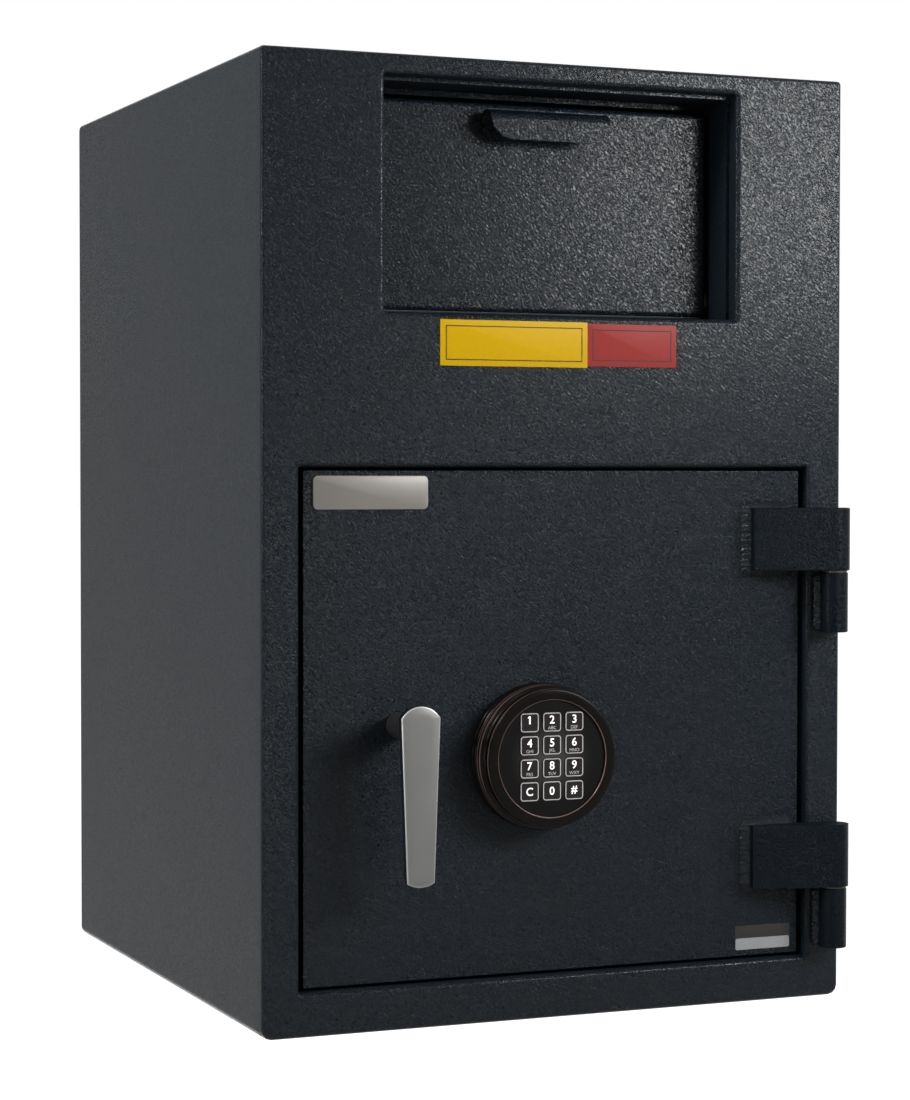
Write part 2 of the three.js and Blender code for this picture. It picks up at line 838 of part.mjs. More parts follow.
/** Plan of a hinge strap: a wedge from the door out to a round end about the pin. */
function strapPlan() {
  const left = doorRight - strapReach;
  const frontCorner = [left, doorFace - strapEndThickness];
  const toPin = Math.hypot(hingeX - frontCorner[0], hingeY - frontCorner[1]);
  const bearing = Math.atan2(hingeY - frontCorner[1], hingeX - frontCorner[0]);
  const tangent = bearing - Math.asin(barrelRadius / toPin);
  const tangentAngle = (tangent - Math.PI / 2) / degrees;
  const roundEnd = arcPoints([hingeX, hingeY], barrelRadius, tangentAngle, quarterTurn, cornerSteps * 4);
  const behind = hingeY + barrelRadius;
  const corners = [[left, doorFace], frontCorner, ...roundEnd];
  corners.push([doorRight - doorEdgeRadius, behind], [doorRight - doorEdgeRadius, doorFace]);
  return polygon(corners);
}

function makeHingeStrap(bottom) {
  const strap = prismAlongZ(strapPlan(), bottom, bottom + strapHeight);
  const bore = rod("z", hingePinRadius + fitGap, bottom - overrun, bottom + hingePinDepth + fitGap, {
    x: hingeX,
    y: hingeY,
  });
  return strap.subtract(bore);
}

function knuckleTop(strapBottom) {
  return strapBottom - washerThickness - 2 * fitGap;
}

function makeHingeKnuckle(strapBottom) {
  const top = knuckleTop(strapBottom);
  const bottom = top - barrelHeight;
  const barrel = rod("z", knuckleRadius, bottom, top, { x: hingeX, y: hingeY });
  const footLeft = hingeX - knuckleFootWidth / 2;
  const foot = boxBetween([footLeft, hingeY, bottom], [footLeft + knuckleFootWidth, frontY, top]);
  const bore = rod("z", hingePinRadius + fitGap, top - hingePinDepth - fitGap, top + overrun, {
    x: hingeX,
    y: hingeY,
  });
  return barrel.add(foot).subtract(bore);
}

function makeHingePin(strapBottom) {
  const from = knuckleTop(strapBottom) - hingePinDepth;
  return rod("z", hingePinRadius, from, strapBottom + hingePinDepth, { x: hingeX, y: hingeY });
}

function makeHingeWasher(strapBottom) {
  const from = strapBottom - washerThickness - fitGap;
  const middle = { x: hingeX, y: hingeY };
  const disc = rod("z", washerRadius, from, from + washerThickness, middle);
  const bore = rod("z", hingePinRadius + fitGap, from - overrun, from + washerThickness + overrun, middle);
  return disc.subtract(bore);
}

// Handle and cam

/** Outline of the lever, tapered to its tip, with an arc at both ends. */
function leverOutline() {
  const tipZ = handleZ - leverLength;
  const halfTop = leverTopWidth / 2;
  const halfTip = leverTipWidth / 2;
  const topDip = leverTopRadius - Math.sqrt(leverTopRadius ** 2 - halfTop ** 2);
  const topAngle = Math.asin(halfTop / leverTopRadius) / degrees;
  const tipAngle = Math.asin(halfTip / leverTipRadius) / degrees;
  const steps = cornerSteps * 2;
  const centre = [handleX, handleZ];
  const topArc = arcPoints(centre, leverTopRadius, quarterTurn - topAngle, quarterTurn + topAngle, steps);
  const tipCentre = [handleX, tipZ + leverTipRadius];
  const tipArc = arcPoints(tipCentre, leverTipRadius, -quarterTurn - tipAngle, tipAngle - quarterTurn, steps);
  const straight = [
    [handleX + halfTop, handleZ + leverTopRadius - topDip - leverTopRadius / 2],
    [handleX - halfTop, handleZ + leverTopRadius - topDip - leverTopRadius / 2],
  ];
  return { topArc, tipArc, straight };
}

function makeHandleLever() {
  const { topArc, tipArc, straight } = leverOutline();
  const shape = polygon([straight[0], ...topArc, straight[1], ...tipArc]);
  const geometry = new THREE.ExtrudeGeometry(shape, {
    depth: leverThickness - 2 * leverEdgeRadius,
    bevelThickness: leverEdgeRadius,
    bevelSize: leverEdgeRadius,
    bevelOffset: -leverEdgeRadius,
    bevelSegments: 2,
  });
  geometry.rotateX(Math.PI / 2);
  const front = doorFace - leverStandoff;
  geometry.translate(0, front + leverThickness - leverEdgeRadius, 0);
  const blade = solidOf(geometry);
  const neckFrom = front + leverThickness / 2;
  const neckTo = doorFace - fitGap;
  const flareEnd = neckTo - neckPlainLength;
  const flareStart = front + leverThickness;
  const profile = [new THREE.Vector2(0, neckFrom), new THREE.Vector2(neckFlareRadius, neckFrom)];
  const flareSteps = cornerSteps * 2;
  for (let step = 0; step <= flareSteps; step += 1) {
    const share = step / flareSteps;
    const radius = neckRadius + (neckFlareRadius - neckRadius) * (1 - share) ** 2;
    profile.push(new THREE.Vector2(radius, flareStart + (flareEnd - flareStart) * share));
  }
  profile.push(new THREE.Vector2(neckRadius, neckTo), new THREE.Vector2(0, neckTo));
  const neck = turnedAlongY(profile, { x: handleX, z: handleZ });
  const socket = rod("y", spindleRadius + fitGap, neckTo - spindleSocket, neckTo + overrun, {
    x: handleX,
    z: handleZ,
  });
  return blade.add(neck).subtract(socket);
}

const spindleSocket = leverStandoff - leverThickness - neckPlainLength;
const bushBack = doorBack + fitGap + spindleFlangeDepth;
const camFront = bushBack + fitGap;
const camBack = camFront + camThickness;
const nutFront = camBack + fitGap;
const nutBack = nutFront + nutThickness;
const carriageFront = nutBack + carriageClearance;
const carriageBack = carriageFront + carriageThickness;
const boltY = (carriageFront + carriageBack) / 2;
const crankRadius = boltTravel / Math.SQRT2;
const crankX = handleX + boltTravel / 2;
const crankZ = handleZ - boltTravel / 2;

function makeHandleSpindle() {
  const from = doorFace - spindleSocket + fitGap;
  return rod("y", spindleRadius, from, nutBack, { x: handleX, z: handleZ });
}

function makeSpindleBush() {
  const middle = { x: handleX, z: handleZ };
  const sleeve = rod("y", spindleBushRadius, doorFace + doorEdgeRadius, bushBack, middle);
  const flange = rod("y", spindleBushFlange, doorBack + fitGap, bushBack, middle);
  const bore = rod("y", spindleRadius + fitGap, doorFace - overrun, bushBack + overrun, middle);
  return sleeve.add(flange).subtract(bore);
}

function makeHandleCam() {
  const middle = { x: handleX, z: handleZ };
  const disc = rod("y", camRadius, camFront, camBack, middle);
  const bore = rod("y", spindleRadius + fitGap, camFront - overrun, camBack + overrun, middle);
  const pinHole = rod("y", drivePinRadius + fitGap, camFront + camThickness / 2, camBack + overrun, {
    x: crankX,
    z: crankZ,
  });
  return disc.subtract(bore).subtract(pinHole);
}

function makeDrivePin() {
  const from = camFront + camThickness / 2 + fitGap;
  return rod("y", drivePinRadius, from, carriageBack + fitGap, { x: crankX, z: crankZ });
}

function makeSpindleNut() {
  const hexSides = 6;
  const middle = { x: handleX, z: handleZ };
  const hex = rod("y", nutRadius, nutFront, nutBack, middle, hexSides);
  return hex.subtract(rod("y", spindleRadius + fitGap, nutFront - overrun, nutBack + overrun, middle));
}

// Boltwork

const carriageLeft = doorLeft + carriageFromEdge;
const carriageRight = carriageLeft + carriageWidth;
const carriageLow = doorMiddle - boltSpacing - carriageEnd;
const carriageHigh = doorMiddle + boltSpacing + carriageEnd;
const studX = carriageLeft + studInset;
const lockLeft = dialX - lockWidth / 2;
const lockBoltTip = lockLeft - lockBoltProud;
const armEnd = lockBoltTip - lockBoltTravel - armGap;

/** A slot with round ends, cut through the carriage. */
function carriageSlot(from, to, radius) {
  const steps = cornerSteps * 2;
  const level = Math.atan2(to[1] - from[1], to[0] - from[0]) / degrees;
  const corners = [
    ...arcPoints(to, radius, level - quarterTurn, level + quarterTurn, steps),
    ...arcPoints(from, radius, level + quarterTurn, level + 3 * quarterTurn, steps),
  ];
  return prismAlongY(polygon(corners), carriageFront - overrun, carriageBack + overrun);
}

function makeCarriage() {
  const size = {
    width: carriageWidth,
    height: carriageHigh - carriageLow,
    centre: new THREE.Vector2((carriageLeft + carriageRight) / 2, (carriageLow + carriageHigh) / 2),
  };
  const radius = carriageCornerRadius;
  const bar = new THREE.Shape(roundedOutline(size.width, size.height, radius, radius, size.centre));
  let carriage = prismAlongY(bar, carriageFront, carriageBack);
  const armLow = dialZ - armHeight / 2;
  const armStart = [carriageRight - radius, carriageFront, armLow];
  carriage = carriage.add(boxBetween(armStart, [armEnd, carriageBack, armLow + armHeight]));
  const studSlot = studRadius + fitGap;
  for (const z of [doorMiddle - studSpacing, doorMiddle + studSpacing]) {
    carriage = carriage.subtract(carriageSlot([studX, z], [studX + boltTravel, z], studSlot));
  }
  const crankLow = handleZ - crankRadius - slotGap;
  const crankHigh = crankZ + slotGap;
  const crankSlot = carriageSlot([crankX, crankLow], [crankX, crankHigh], drivePinRadius + slotGap);
  return carriage.subtract(crankSlot);
}

/** Round locking bolt with a chamfered nose, fixed to the edge of the carriage. */
function makeBolt(z) {
  const tip = doorLeft + boltTipInset;
  const profile = [
    new THREE.Vector2(0, -carriageLeft),
    new THREE.Vector2(boltRadius, -carriageLeft),
    new THREE.Vector2(boltRadius, -tip - boltChamfer),
    new THREE.Vector2(boltRadius - boltChamfer, -tip),
    new THREE.Vector2(0, -tip),
  ];
  const geometry = new THREE.LatheGeometry(profile, roundSteps);
  geometry.rotateZ(Math.PI / 2);
  geometry.translate(0, boltY, z);
  return solidOf(geometry);
}

/** Angle on the back of the door that the bolts slide through. */
function makeBoltGuide() {
  const left = doorLeft + guideFromEdge;
  const shape = polygon([
    [left, doorBack],
    [left + guideFoot, doorBack],
    [left + guideFoot, doorBack + guideSheet],
    [left + guideSheet, doorBack + guideSheet],
    [left + guideSheet, doorBack + guideDepth],
    [left, doorBack + guideDepth],
  ]);
  const half = boltSpacing + guideEnd;
  let guide = prismAlongZ(shape, doorMiddle - half, doorMiddle + half);
  for (const z of boltPlaces()) {
    const hole = rod("x", boltRadius + fitGap, left - overrun, left + guideSheet + overrun, { y: boltY, z });
    guide = guide.subtract(hole);
  }
  return guide;
}

function boltPlaces() {
  return [doorMiddle - boltSpacing, doorMiddle, doorMiddle + boltSpacing];
}

/** Headed stud that carries the carriage on the back of the door. */
function makeCarriageStud(z) {
  const middle = { x: studX, z };
  const headFrom = carriageBack + fitGap;
  const shank = rod("y", studRadius, doorBack, headFrom + studHeadDepth / 2, middle);
  return shank.add(rod("y", studHeadRadius, headFrom, headFrom + studHeadDepth, middle));
}

/** Fixed bar on the hinge side that hooks behind the jamb when the door is shut. */
function makeDeadBar() {
  const right = doorRight - deadBarFromEdge;
  const left = right - deadBarFoot;
  const hook = doorBack + deadBarRise;
  const tip = doorRight + deadBarReach;
  const shape = polygon([
    [left, doorBack],
    [right, doorBack],
    [right, hook],
    [tip, hook],
    [tip, hook + deadBarSheet],
    [right - deadBarSheet, hook + deadBarSheet],
    [right - deadBarSheet, doorBack + deadBarSheet],
    [left, doorBack + deadBarSheet],
  ]);
  const half = boltSpacing + guideEnd;
  return prismAlongZ(shape, doorMiddle - half, doorMiddle + half);
}

// Lock

function makeLockCase() {
  const back = doorBack + lockDepth;
  const outline = roundedOutline(
    lockWidth,
    lockHeight,
    lockCornerRadius,
    lockCornerRadius,
    new THREE.Vector2(dialX, dialZ),
  );
  const block = prismAlongY(new THREE.Shape(outline), doorBack, back);
  const spindleBore = rod("y", dialSpindleRadius + fitGap, doorBack - overrun, doorBack + lockSpindleDepth, {
    x: dialX,
    z: dialZ,
  });
  const halfHeight = lockBoltHeight / 2 + fitGap;
  const halfDepth = lockBoltDepth / 2 + fitGap;
  const channel = boxBetween(
    [lockLeft - overrun, boltY - halfDepth, dialZ - halfHeight],
    [lockBoltTip + lockBoltLength + fitGap, boltY + halfDepth, dialZ + halfHeight],
  );
  return block.subtract(spindleBore).subtract(channel);
}

function makeLockBolt() {
  return boxBetween(
    [lockBoltTip, boltY - lockBoltDepth / 2, dialZ - lockBoltHeight / 2],
    [lockBoltTip + lockBoltLength, boltY + lockBoltDepth / 2, dialZ + lockBoltHeight / 2],
  );
}

// Dial and keys

const dialBack = doorFace - dialBaseThickness - fitGap;
const dialFront = doorFace - dialDepth;
const faceFront = dialFront + faceRecess;
const faceBack = faceFront + faceThickness;

function makeKeypadBase() {
  const middle = { x: dialX, z: dialZ };
  const front = doorFace - dialBaseThickness;
  const disc = rod("y", dialBaseRadius, front, doorFace, middle, dialSteps);
  return disc.subtract(rod("y", dialSpindleHole, front - overrun, doorFace + overrun, middle));
}

// Radius of each step of the bezel, as a share of the base radius, and its share of the depth.
const bezelShares = [
  [1, 0],
  [1, 0.2],
  [0.985, 0.26],
  [0.955, 0.3],
  [0.975, 0.37],
  [0.975, 0.5],
  [0.955, 0.58],
  [0.93, 0.62],
  [0.945, 0.69],
  [0.94, 0.88],
  [0.915, 0.98],
  [0.885, 1],
];

/** Stepped ring that turns about the keypad, closed behind by a web. */
function makeDialRing() {
  const depth = dialBack - dialFront;
  const bore = faceRadius + fitGap;
  const web = dialBack - dialWebThickness;
  const profile = [new THREE.Vector2(dialSpindleRadius + fitGap, dialBack)];
  for (const [radiusShare, depthShare] of bezelShares) {
    profile.push(new THREE.Vector2(dialBaseRadius * radiusShare, dialBack - depth * depthShare));
  }
  profile.push(new THREE.Vector2(bore, faceFront - faceRecess / 2));
  profile.push(new THREE.Vector2(bore, web));
  profile.push(new THREE.Vector2(dialSpindleRadius + fitGap, web));
  profile.push(new THREE.Vector2(dialSpindleRadius + fitGap, dialBack));
  return turnedAlongY(profile.reverse(), { x: dialX, z: dialZ }, dialSteps);
}

function keyCentre(column, row) {
  const across = (column - (keyColumns - 1) / 2) * keyPitchAcross;
  const up = ((keyRows - 1) / 2 - row) * keyPitchUp + keysAboveMiddle;
  return new THREE.Vector2(dialX + across, dialZ + up);
}

/** Disc that carries the keys, with a rim behind that stands on the web of the ring. */
function makeKeypadFace() {
  const middle = { x: dialX, z: dialZ };
  const web = dialBack - dialWebThickness;
  let face = rod("y", faceRadius, faceFront, web - fitGap, middle, dialSteps);
  face = face.subtract(rod("y", faceRadius - faceRimWall, faceBack, web + overrun, middle, dialSteps));
  const radius = keyCornerRadius + fitGap;
  const width = keyWidth + 2 * fitGap;
  const height = keyHeight + 2 * fitGap;
  for (let row = 0; row < keyRows; row += 1) {
    for (let column = 0; column < keyColumns; column += 1) {
      const outline = roundedOutline(width, height, radius, radius, keyCentre(column, row), keySteps);
      const hole = prismAlongY(new THREE.Shape(outline), faceFront - overrun, faceBack + overrun);
      face = face.subtract(hole);
    }
  }
  return face;
}

/** Square key with rounded edges and a skirt behind the face. */
function makeKey(centre) {
  const size = {
    width: keyWidth,
    height: keyHeight,
    topRadius: keyCornerRadius,
    bottomRadius: keyCornerRadius,
    centre,
  };
  const front = faceFront - keyProud;
  const skirtFront = faceBack + fitGap;
  const cap = roundedPlate(size, front, skirtFront + keySkirtThickness / 2, keyEdgeRadius, keySteps);
  const skirt = new THREE.Shape(
    roundedOutline(
      keyWidth + 2 * keySkirt,
      keyHeight + 2 * keySkirt,
      keyCornerRadius + keySkirt,
      keyCornerRadius + keySkirt,
      centre,
      keySteps,
    ),
  );
  return cap.add(prismAlongY(skirt, skirtFront, skirtFront + keySkirtThickness));
}

function makeDialSpindle() {
  const from = dialBack - dialWebThickness;
  return rod("y", dialSpindleRadius, from, doorBack + lockSpindleDepth - fitGap, { x: dialX, z: dialZ });
}

// Assembly

const group = new THREE.Group();
const drawerGroup = new THREE.Group();
drawerGroup.position.x = recessOffset;
group.add(drawerGroup);

addPiece(group, "body_wrap", makeBodyWrap(), "paint");
addPiece(group, "top_back_plate", makeTopBack(), "paint");
addPiece(group, "front_frame", makeFrontFrame(), "paint");

addPiece(drawerGroup, "deposit_liner", makeLiner(), "paint");
addPiece(drawerGroup, "deposit_baffle", makeBaffle(), "paint");
addPiece(drawerGroup, "drawer_front", makeDrawerFront(), "paint");
addPiece(drawerGroup, "drawer_floor", makeDrawerFloor(), "zinc");
addPiece(drawerGroup, "drawer_pull", makePull().translate([pullOffset, 0, 0]), "paint");
for (const [side, sign] of [
  ["left", -1],
  ["right", 1],
]) {
  addPiece(drawerGroup, "drawer_stop_" + side, makeDrawerStop(sign * stopSpacing), "zinc");
  addPiece(drawerGroup, "pivot_bush_" + side, makePivotBush(sign), "brass");
  addPiece(drawerGroup, "drawer_cheek_" + side, makeCheek(sign), "zinc");
  addPiece(drawerGroup, "pivot_pin_" + side, makePivotPin(sign), "steel");
}

addPiece(group, "door_plate", makeDoorPlate(), "paint");
for (const [level, strapBottom] of [
  ["upper", upperStrapBottom],
  ["lower", lowerStrapBottom],
]) {
  addPiece(group, "hinge_strap_" + level, makeHingeStrap(strapBottom), "paint");
  addPiece(group, "hinge_knuckle_" + level, makeHingeKnuckle(strapBottom), "paint");
  addPiece(group, "hinge_pin_" + level, makeHingePin(strapBottom), "steel");
  addPiece(group, "hinge_washer_" + level, makeHingeWasher(strapBottom), "brass");
}

addPiece(group, "handle_lever", makeHandleLever(), "satin");
addPiece(group, "handle_spindle", makeHandleSpindle(), "steel");
addPiece(group, "spindle_bush", makeSpindleBush(), "brass");
addPiece(group, "handle_cam", makeHandleCam(), "zinc");
addPiece(group, "drive_pin", makeDrivePin(), "steel");
addPiece(group, "spindle_nut", makeSpindleNut(), "steel");

addPiece(group, "bolt_carriage", makeCarriage(), "zinc");
addPiece(group, "bolt_guide", makeBoltGuide(), "zinc");
["lower", "middle", "upper"].forEach((level, place) => {
  addPiece(group, "bolt_" + level, makeBolt(boltPlaces()[place]), "steel");
});
addPiece(group, "carriage_stud_lower", makeCarriageStud(doorMiddle - studSpacing), "steel");
addPiece(group, "carriage_stud_upper", makeCarriageStud(doorMiddle + studSpacing), "steel");
addPiece(group, "dead_bar", makeDeadBar(), "zinc");

addPiece(group, "lock_case", makeLockCase(), "zinc");
addPiece(group, "lock_bolt", makeLockBolt(), "brass");
addPiece(group, "keypad_base", makeKeypadBase(), "bronze");
addPiece(group, "dial_ring", makeDialRing(), "bronze");
addPiece(group, "keypad_face", makeKeypadFace(), "faceBlack");
addPiece(group, "dial_spindle", makeDialSpindle(), "steel");
for (let row = 0; row < keyRows; row += 1) {
  for (let column = 0; column < keyColumns; column += 1) {
    addPiece(group, "key_" + keyNames[row][column], makeKey(keyCentre(column, row)), "keyBlack");
  }
}

export default group;
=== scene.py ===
import math
import random

import bmesh
import bpy
from mathutils import Matrix, Vector


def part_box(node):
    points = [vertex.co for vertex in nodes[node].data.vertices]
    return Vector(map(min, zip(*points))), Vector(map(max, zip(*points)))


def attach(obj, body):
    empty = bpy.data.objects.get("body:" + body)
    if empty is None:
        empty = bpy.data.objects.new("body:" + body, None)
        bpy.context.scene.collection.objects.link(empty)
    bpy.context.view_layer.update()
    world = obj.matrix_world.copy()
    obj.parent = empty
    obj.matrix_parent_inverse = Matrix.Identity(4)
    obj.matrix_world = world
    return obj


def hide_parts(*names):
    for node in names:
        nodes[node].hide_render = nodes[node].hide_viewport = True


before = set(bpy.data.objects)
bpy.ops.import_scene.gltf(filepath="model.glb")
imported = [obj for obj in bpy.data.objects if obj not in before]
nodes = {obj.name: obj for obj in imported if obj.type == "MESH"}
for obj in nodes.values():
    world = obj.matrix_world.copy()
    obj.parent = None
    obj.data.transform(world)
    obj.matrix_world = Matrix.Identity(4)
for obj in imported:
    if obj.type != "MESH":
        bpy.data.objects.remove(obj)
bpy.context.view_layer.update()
mm = 0.001
outward = (0, -1, 0)
inward = (0, 1, 0)
print("frame loaded,", len(nodes), "pieces")


# Camera and light

camera = {
    "place": (-0.92566, -2.26175, 0.43571),
    "turn": (88.4175, -0.0496, -22.631),  # degrees: pitch, roll, yaw
    "lens": 90.03,  # mm, on a sensor of the next width
    "sensor": 36,
}

softboxes = {
    "keySoftbox": {"at": (0.95, -1.35, 0.875), "aim": (0.1, -0.267, 0.62), "size": (0.76, 0.47), "watts": 51},
    "leftStrip": {"at": (-3.1, -0.55, 0.9), "aim": (0, -0.267, 0.6), "size": (0.36, 1.5), "watts": 54},
    "edgeStrip": {"at": (-3.0, -1.2, 1.0), "aim": (-0.254, -0.267, 0.6), "size": (0.16, 1.0), "watts": 24},
    "leftTop": {"at": (-2.2, -0.7, 2.3), "aim": (-0.254, 0, 0.7), "size": (0.5, 0.4), "watts": 104},
    "rightStrip": {"at": (2.5, -1.3, 0.8), "aim": (0.26, -0.29, 0.4), "size": (0.1, 1.5), "watts": 9},
    "topSoftbox": {"at": (-0.5, -1.3, 2.7), "aim": (0, -0.267, 0.5), "size": (0.9, 0.5), "watts": 5},
}

studio = {
    "world": 0.06,  # strength of the light that the surroundings give
    "floor": 0.25,
    "floorGlow": 0.97,  # how white the floor is seen
    "floorRough": 0.9,
    "floorSpecular": 0.1,
    "floorSize": 60.0,
}


def makeCamera():
    data = bpy.data.cameras.new("photoCamera")
    data.lens = camera["lens"]
    data.sensor_width = camera["sensor"]
    shot = bpy.data.objects.new("photoCamera", data)
    shot.location = camera["place"]
    shot.rotation_euler = [math.radians(angle) for angle in camera["turn"]]
    bpy.context.scene.collection.objects.link(shot)
    bpy.context.scene.camera = shot


def makeSoftbox(name, look):
    data = bpy.data.lights.new(name, "AREA")
    data.shape = "RECTANGLE"
    data.size, data.size_y = look["size"]
    data.energy = look["watts"]
    lamp = bpy.data.objects.new(name, data)
    lamp.location = look["at"]
    lamp.visible_camera = False
    lamp.rotation_euler = (Vector(look["aim"]) - lamp.location).to_track_quat("-Z", "Y").to_euler()
    bpy.context.scene.collection.objects.link(lamp)


# 1 for a camera, glossy or transmission ray, else 0.
def seenWhite(tree):
    rays = tree.nodes.new("ShaderNodeLightPath")
    cameraOrGlossy = tree.nodes.new("ShaderNodeMath")
    cameraOrGlossy.operation = "MAXIMUM"
    tree.links.new(rays.outputs["Is Camera Ray"], cameraOrGlossy.inputs[0])
    tree.links.new(rays.outputs["Is Glossy Ray"], cameraOrGlossy.inputs[1])
    anySeen = tree.nodes.new("ShaderNodeMath")
    anySeen.operation = "MAXIMUM"
    tree.links.new(cameraOrGlossy.outputs[0], anySeen.inputs[0])
    tree.links.new(rays.outputs["Is Transmission Ray"], anySeen.inputs[1])
    return anySeen.outputs[0]


def makeWorld():
    bpy.context.scene.view_settings.view_transform = "Standard"
    world = bpy.data.worlds.new("studioWorld")
    bpy.context.scene.world = world
    world.use_nodes = True
    tree = world.node_tree
    back = tree.nodes["Background"]
    level = tree.nodes.new("ShaderNodeMapRange")
    level.inputs["To Min"].default_value = studio["world"]
    level.inputs["To Max"].default_value = 1
    tree.links.new(seenWhite(tree), level.inputs["Value"])
    tree.links.new(level.outputs["Result"], back.inputs["Strength"])
    back.inputs["Color"].default_value = (1, 1, 1, 1)


def makeFloor():
    bm = bmesh.new()
    bmesh.ops.create_grid(bm, x_segments=1, y_segments=1, size=studio["floorSize"] / 2)
    mesh = bpy.data.meshes.new("studioFloor")
    bm.to_mesh(mesh)
    bm.free()
    floor = bpy.data.objects.new("studioFloor", mesh)
    bpy.context.scene.collection.objects.link(floor)
    paper = bpy.data.materials.new("paperFloor")
    paper.use_nodes = True
    tree = paper.node_tree
    shader = tree.nodes["Principled BSDF"]
    shader.inputs["Base Color"].default_value = (*[studio["floor"]] * 3, 1)
    shader.inputs["Roughness"].default_value = studio["floorRough"]
    shader.inputs["Specular IOR Level"].default_value = studio["floorSpecular"]
    shader.inputs["Emission Color"].default_value = (1, 1, 1, 1)
    glow = addRange(tree, seenWhite(tree), 0.0, studio["floorGlow"])
    tree.links.new(glow, shader.inputs["Emission Strength"])
    mesh.materials.append(paper)


# Materials

def newMaterial(name):
    material = bpy.data.materials.new(name)
    material.use_nodes = True
    tree = material.node_tree
    place = tree.nodes.new("ShaderNodeTexCoord")
    return tree, tree.nodes["Principled BSDF"], place.outputs["Object"], material


def addNoise(tree, place, scale, detail=3.0, roughness=0.5, distortion=0.0):
    noise = tree.nodes.new("ShaderNodeTexNoise")
    noise.inputs["Scale"].default_value = scale
    noise.inputs["Detail"].default_value = detail
    noise.inputs["Roughness"].default_value = roughness
    noise.inputs["Distortion"].default_value = distortion
    tree.links.new(place, noise.inputs["Vector"])
    return noise.outputs["Fac"]


def addStretch(tree, place, scale, turn=(0, 0, 0)):
    mapping = tree.nodes.new("ShaderNodeMapping")
    mapping.inputs["Scale"].default_value = scale
    mapping.inputs["Rotation"].default_value = turn
    tree.links.new(place, mapping.inputs["Vector"])
    return mapping.outputs["Vector"]


def addRange(tree, value, low, high, fromLow=0.0, fromHigh=1.0):
    spread = tree.nodes.new("ShaderNodeMapRange")
    spread.inputs["From Min"].default_value = fromLow
    spread.inputs["From Max"].default_value = fromHigh
    spread.inputs["To Min"].default_value = low
    spread.inputs["To Max"].default_value = high
    tree.links.new(value, spread.inputs["Value"])
    return spread.outputs["Result"]


# A colour between two, by a share.
def addBlend(tree, share, first, second):
    mix = tree.nodes.new("ShaderNodeMix")
    mix.data_type = "RGBA"
    mix.inputs["A"].default_value = (*first, 1)
    mix.inputs["B"].default_value = (*second, 1)
    tree.links.new(share, mix.inputs["Factor"])
    return mix.outputs["Result"]


def addSum(tree, first, second, operation="ADD"):
    total = tree.nodes.new("ShaderNodeMath")
    total.operation = operation
    tree.links.new(first, total.inputs[0])
    tree.links.new(second, total.inputs[1])
    return total.outputs[0]


def addBump(tree, height, strength, distance, before=None):
    bump = tree.nodes.new("ShaderNodeBump")
    bump.inputs["Strength"].default_value = strength
    bump.inputs["Distance"].default_value = distance
    tree.links.new(height, bump.inputs["Height"])
    if before:
        tree.links.new(before, bump.inputs["Normal"])
    return bump.outputs["Normal"]


def tint(color, factor):
    return tuple(channel * factor for channel in color)


def middleOf(node):
    low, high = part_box(node)
    return (low + high) / 2


makeCamera()
for lampName, lampLook in softboxes.items():
    makeSoftbox(lampName, lampLook)
makeWorld()
makeFloor()
print("camera, softboxes and floor made")


slate = {
    "color": (0.0014, 0.0031, 0.005),
    "grain": 850.0,  # waves of the leather grain per metre
    "grainDepth": 0.00025,
    "grainLean": 0.75,  # radians, how far the creases lean from level
    "grainStretch": 0.45,  # waves along a crease for each wave across it
    "roughness": (0.05, 0.08),
    "pitRoughness": 0.1,  # added down in the creases
    "sideRoughness": 0.36,  # added on faces that look left or right
    "levelRoughness": 0.5,  # added on faces that look up or down
    "specular": 0.085,
    "creases": (2.5, 0.55, 0.9),  # detail, roughness and twist of their noise
    "ridgeReach": (0.4, 0.56),
    "pebbles": 0.82,  # for each wave of the creases
    "pebbleSmooth": 0.6,
    "pebbleReach": (0.05, 0.75),
    "pebbleShare": 0.35,
    "fine": 2.0,  # for each wave of the creases
    "fineNoise": (2.0, 0.6),
    "fineStrength": 0.45,
    "fineDepth": 0.35,
    "fineGloss": 0.03,
    "waves": (14.0, 2.0, 0.5),
    "waveStrength": 0.08,
    "waveDepth": 0.002,
    "patches": (5.0, 3.0, 0.55),
    "patchTint": (0.9, 1.12),
    # Base colour is darker in the grain's creases and lighter on its crests: painted shade and painted
    # highlight.
    "pitPaintedShade": (0.5, 0.5, 0.52),
    "crestPaintedHighlight": (1.4, 1.4, 1.36),
    "pitReach": (0.1, 0.9),
    "sideReach": (0.86, 0.98),
    "levelReach": (0.8, 0.97),
}
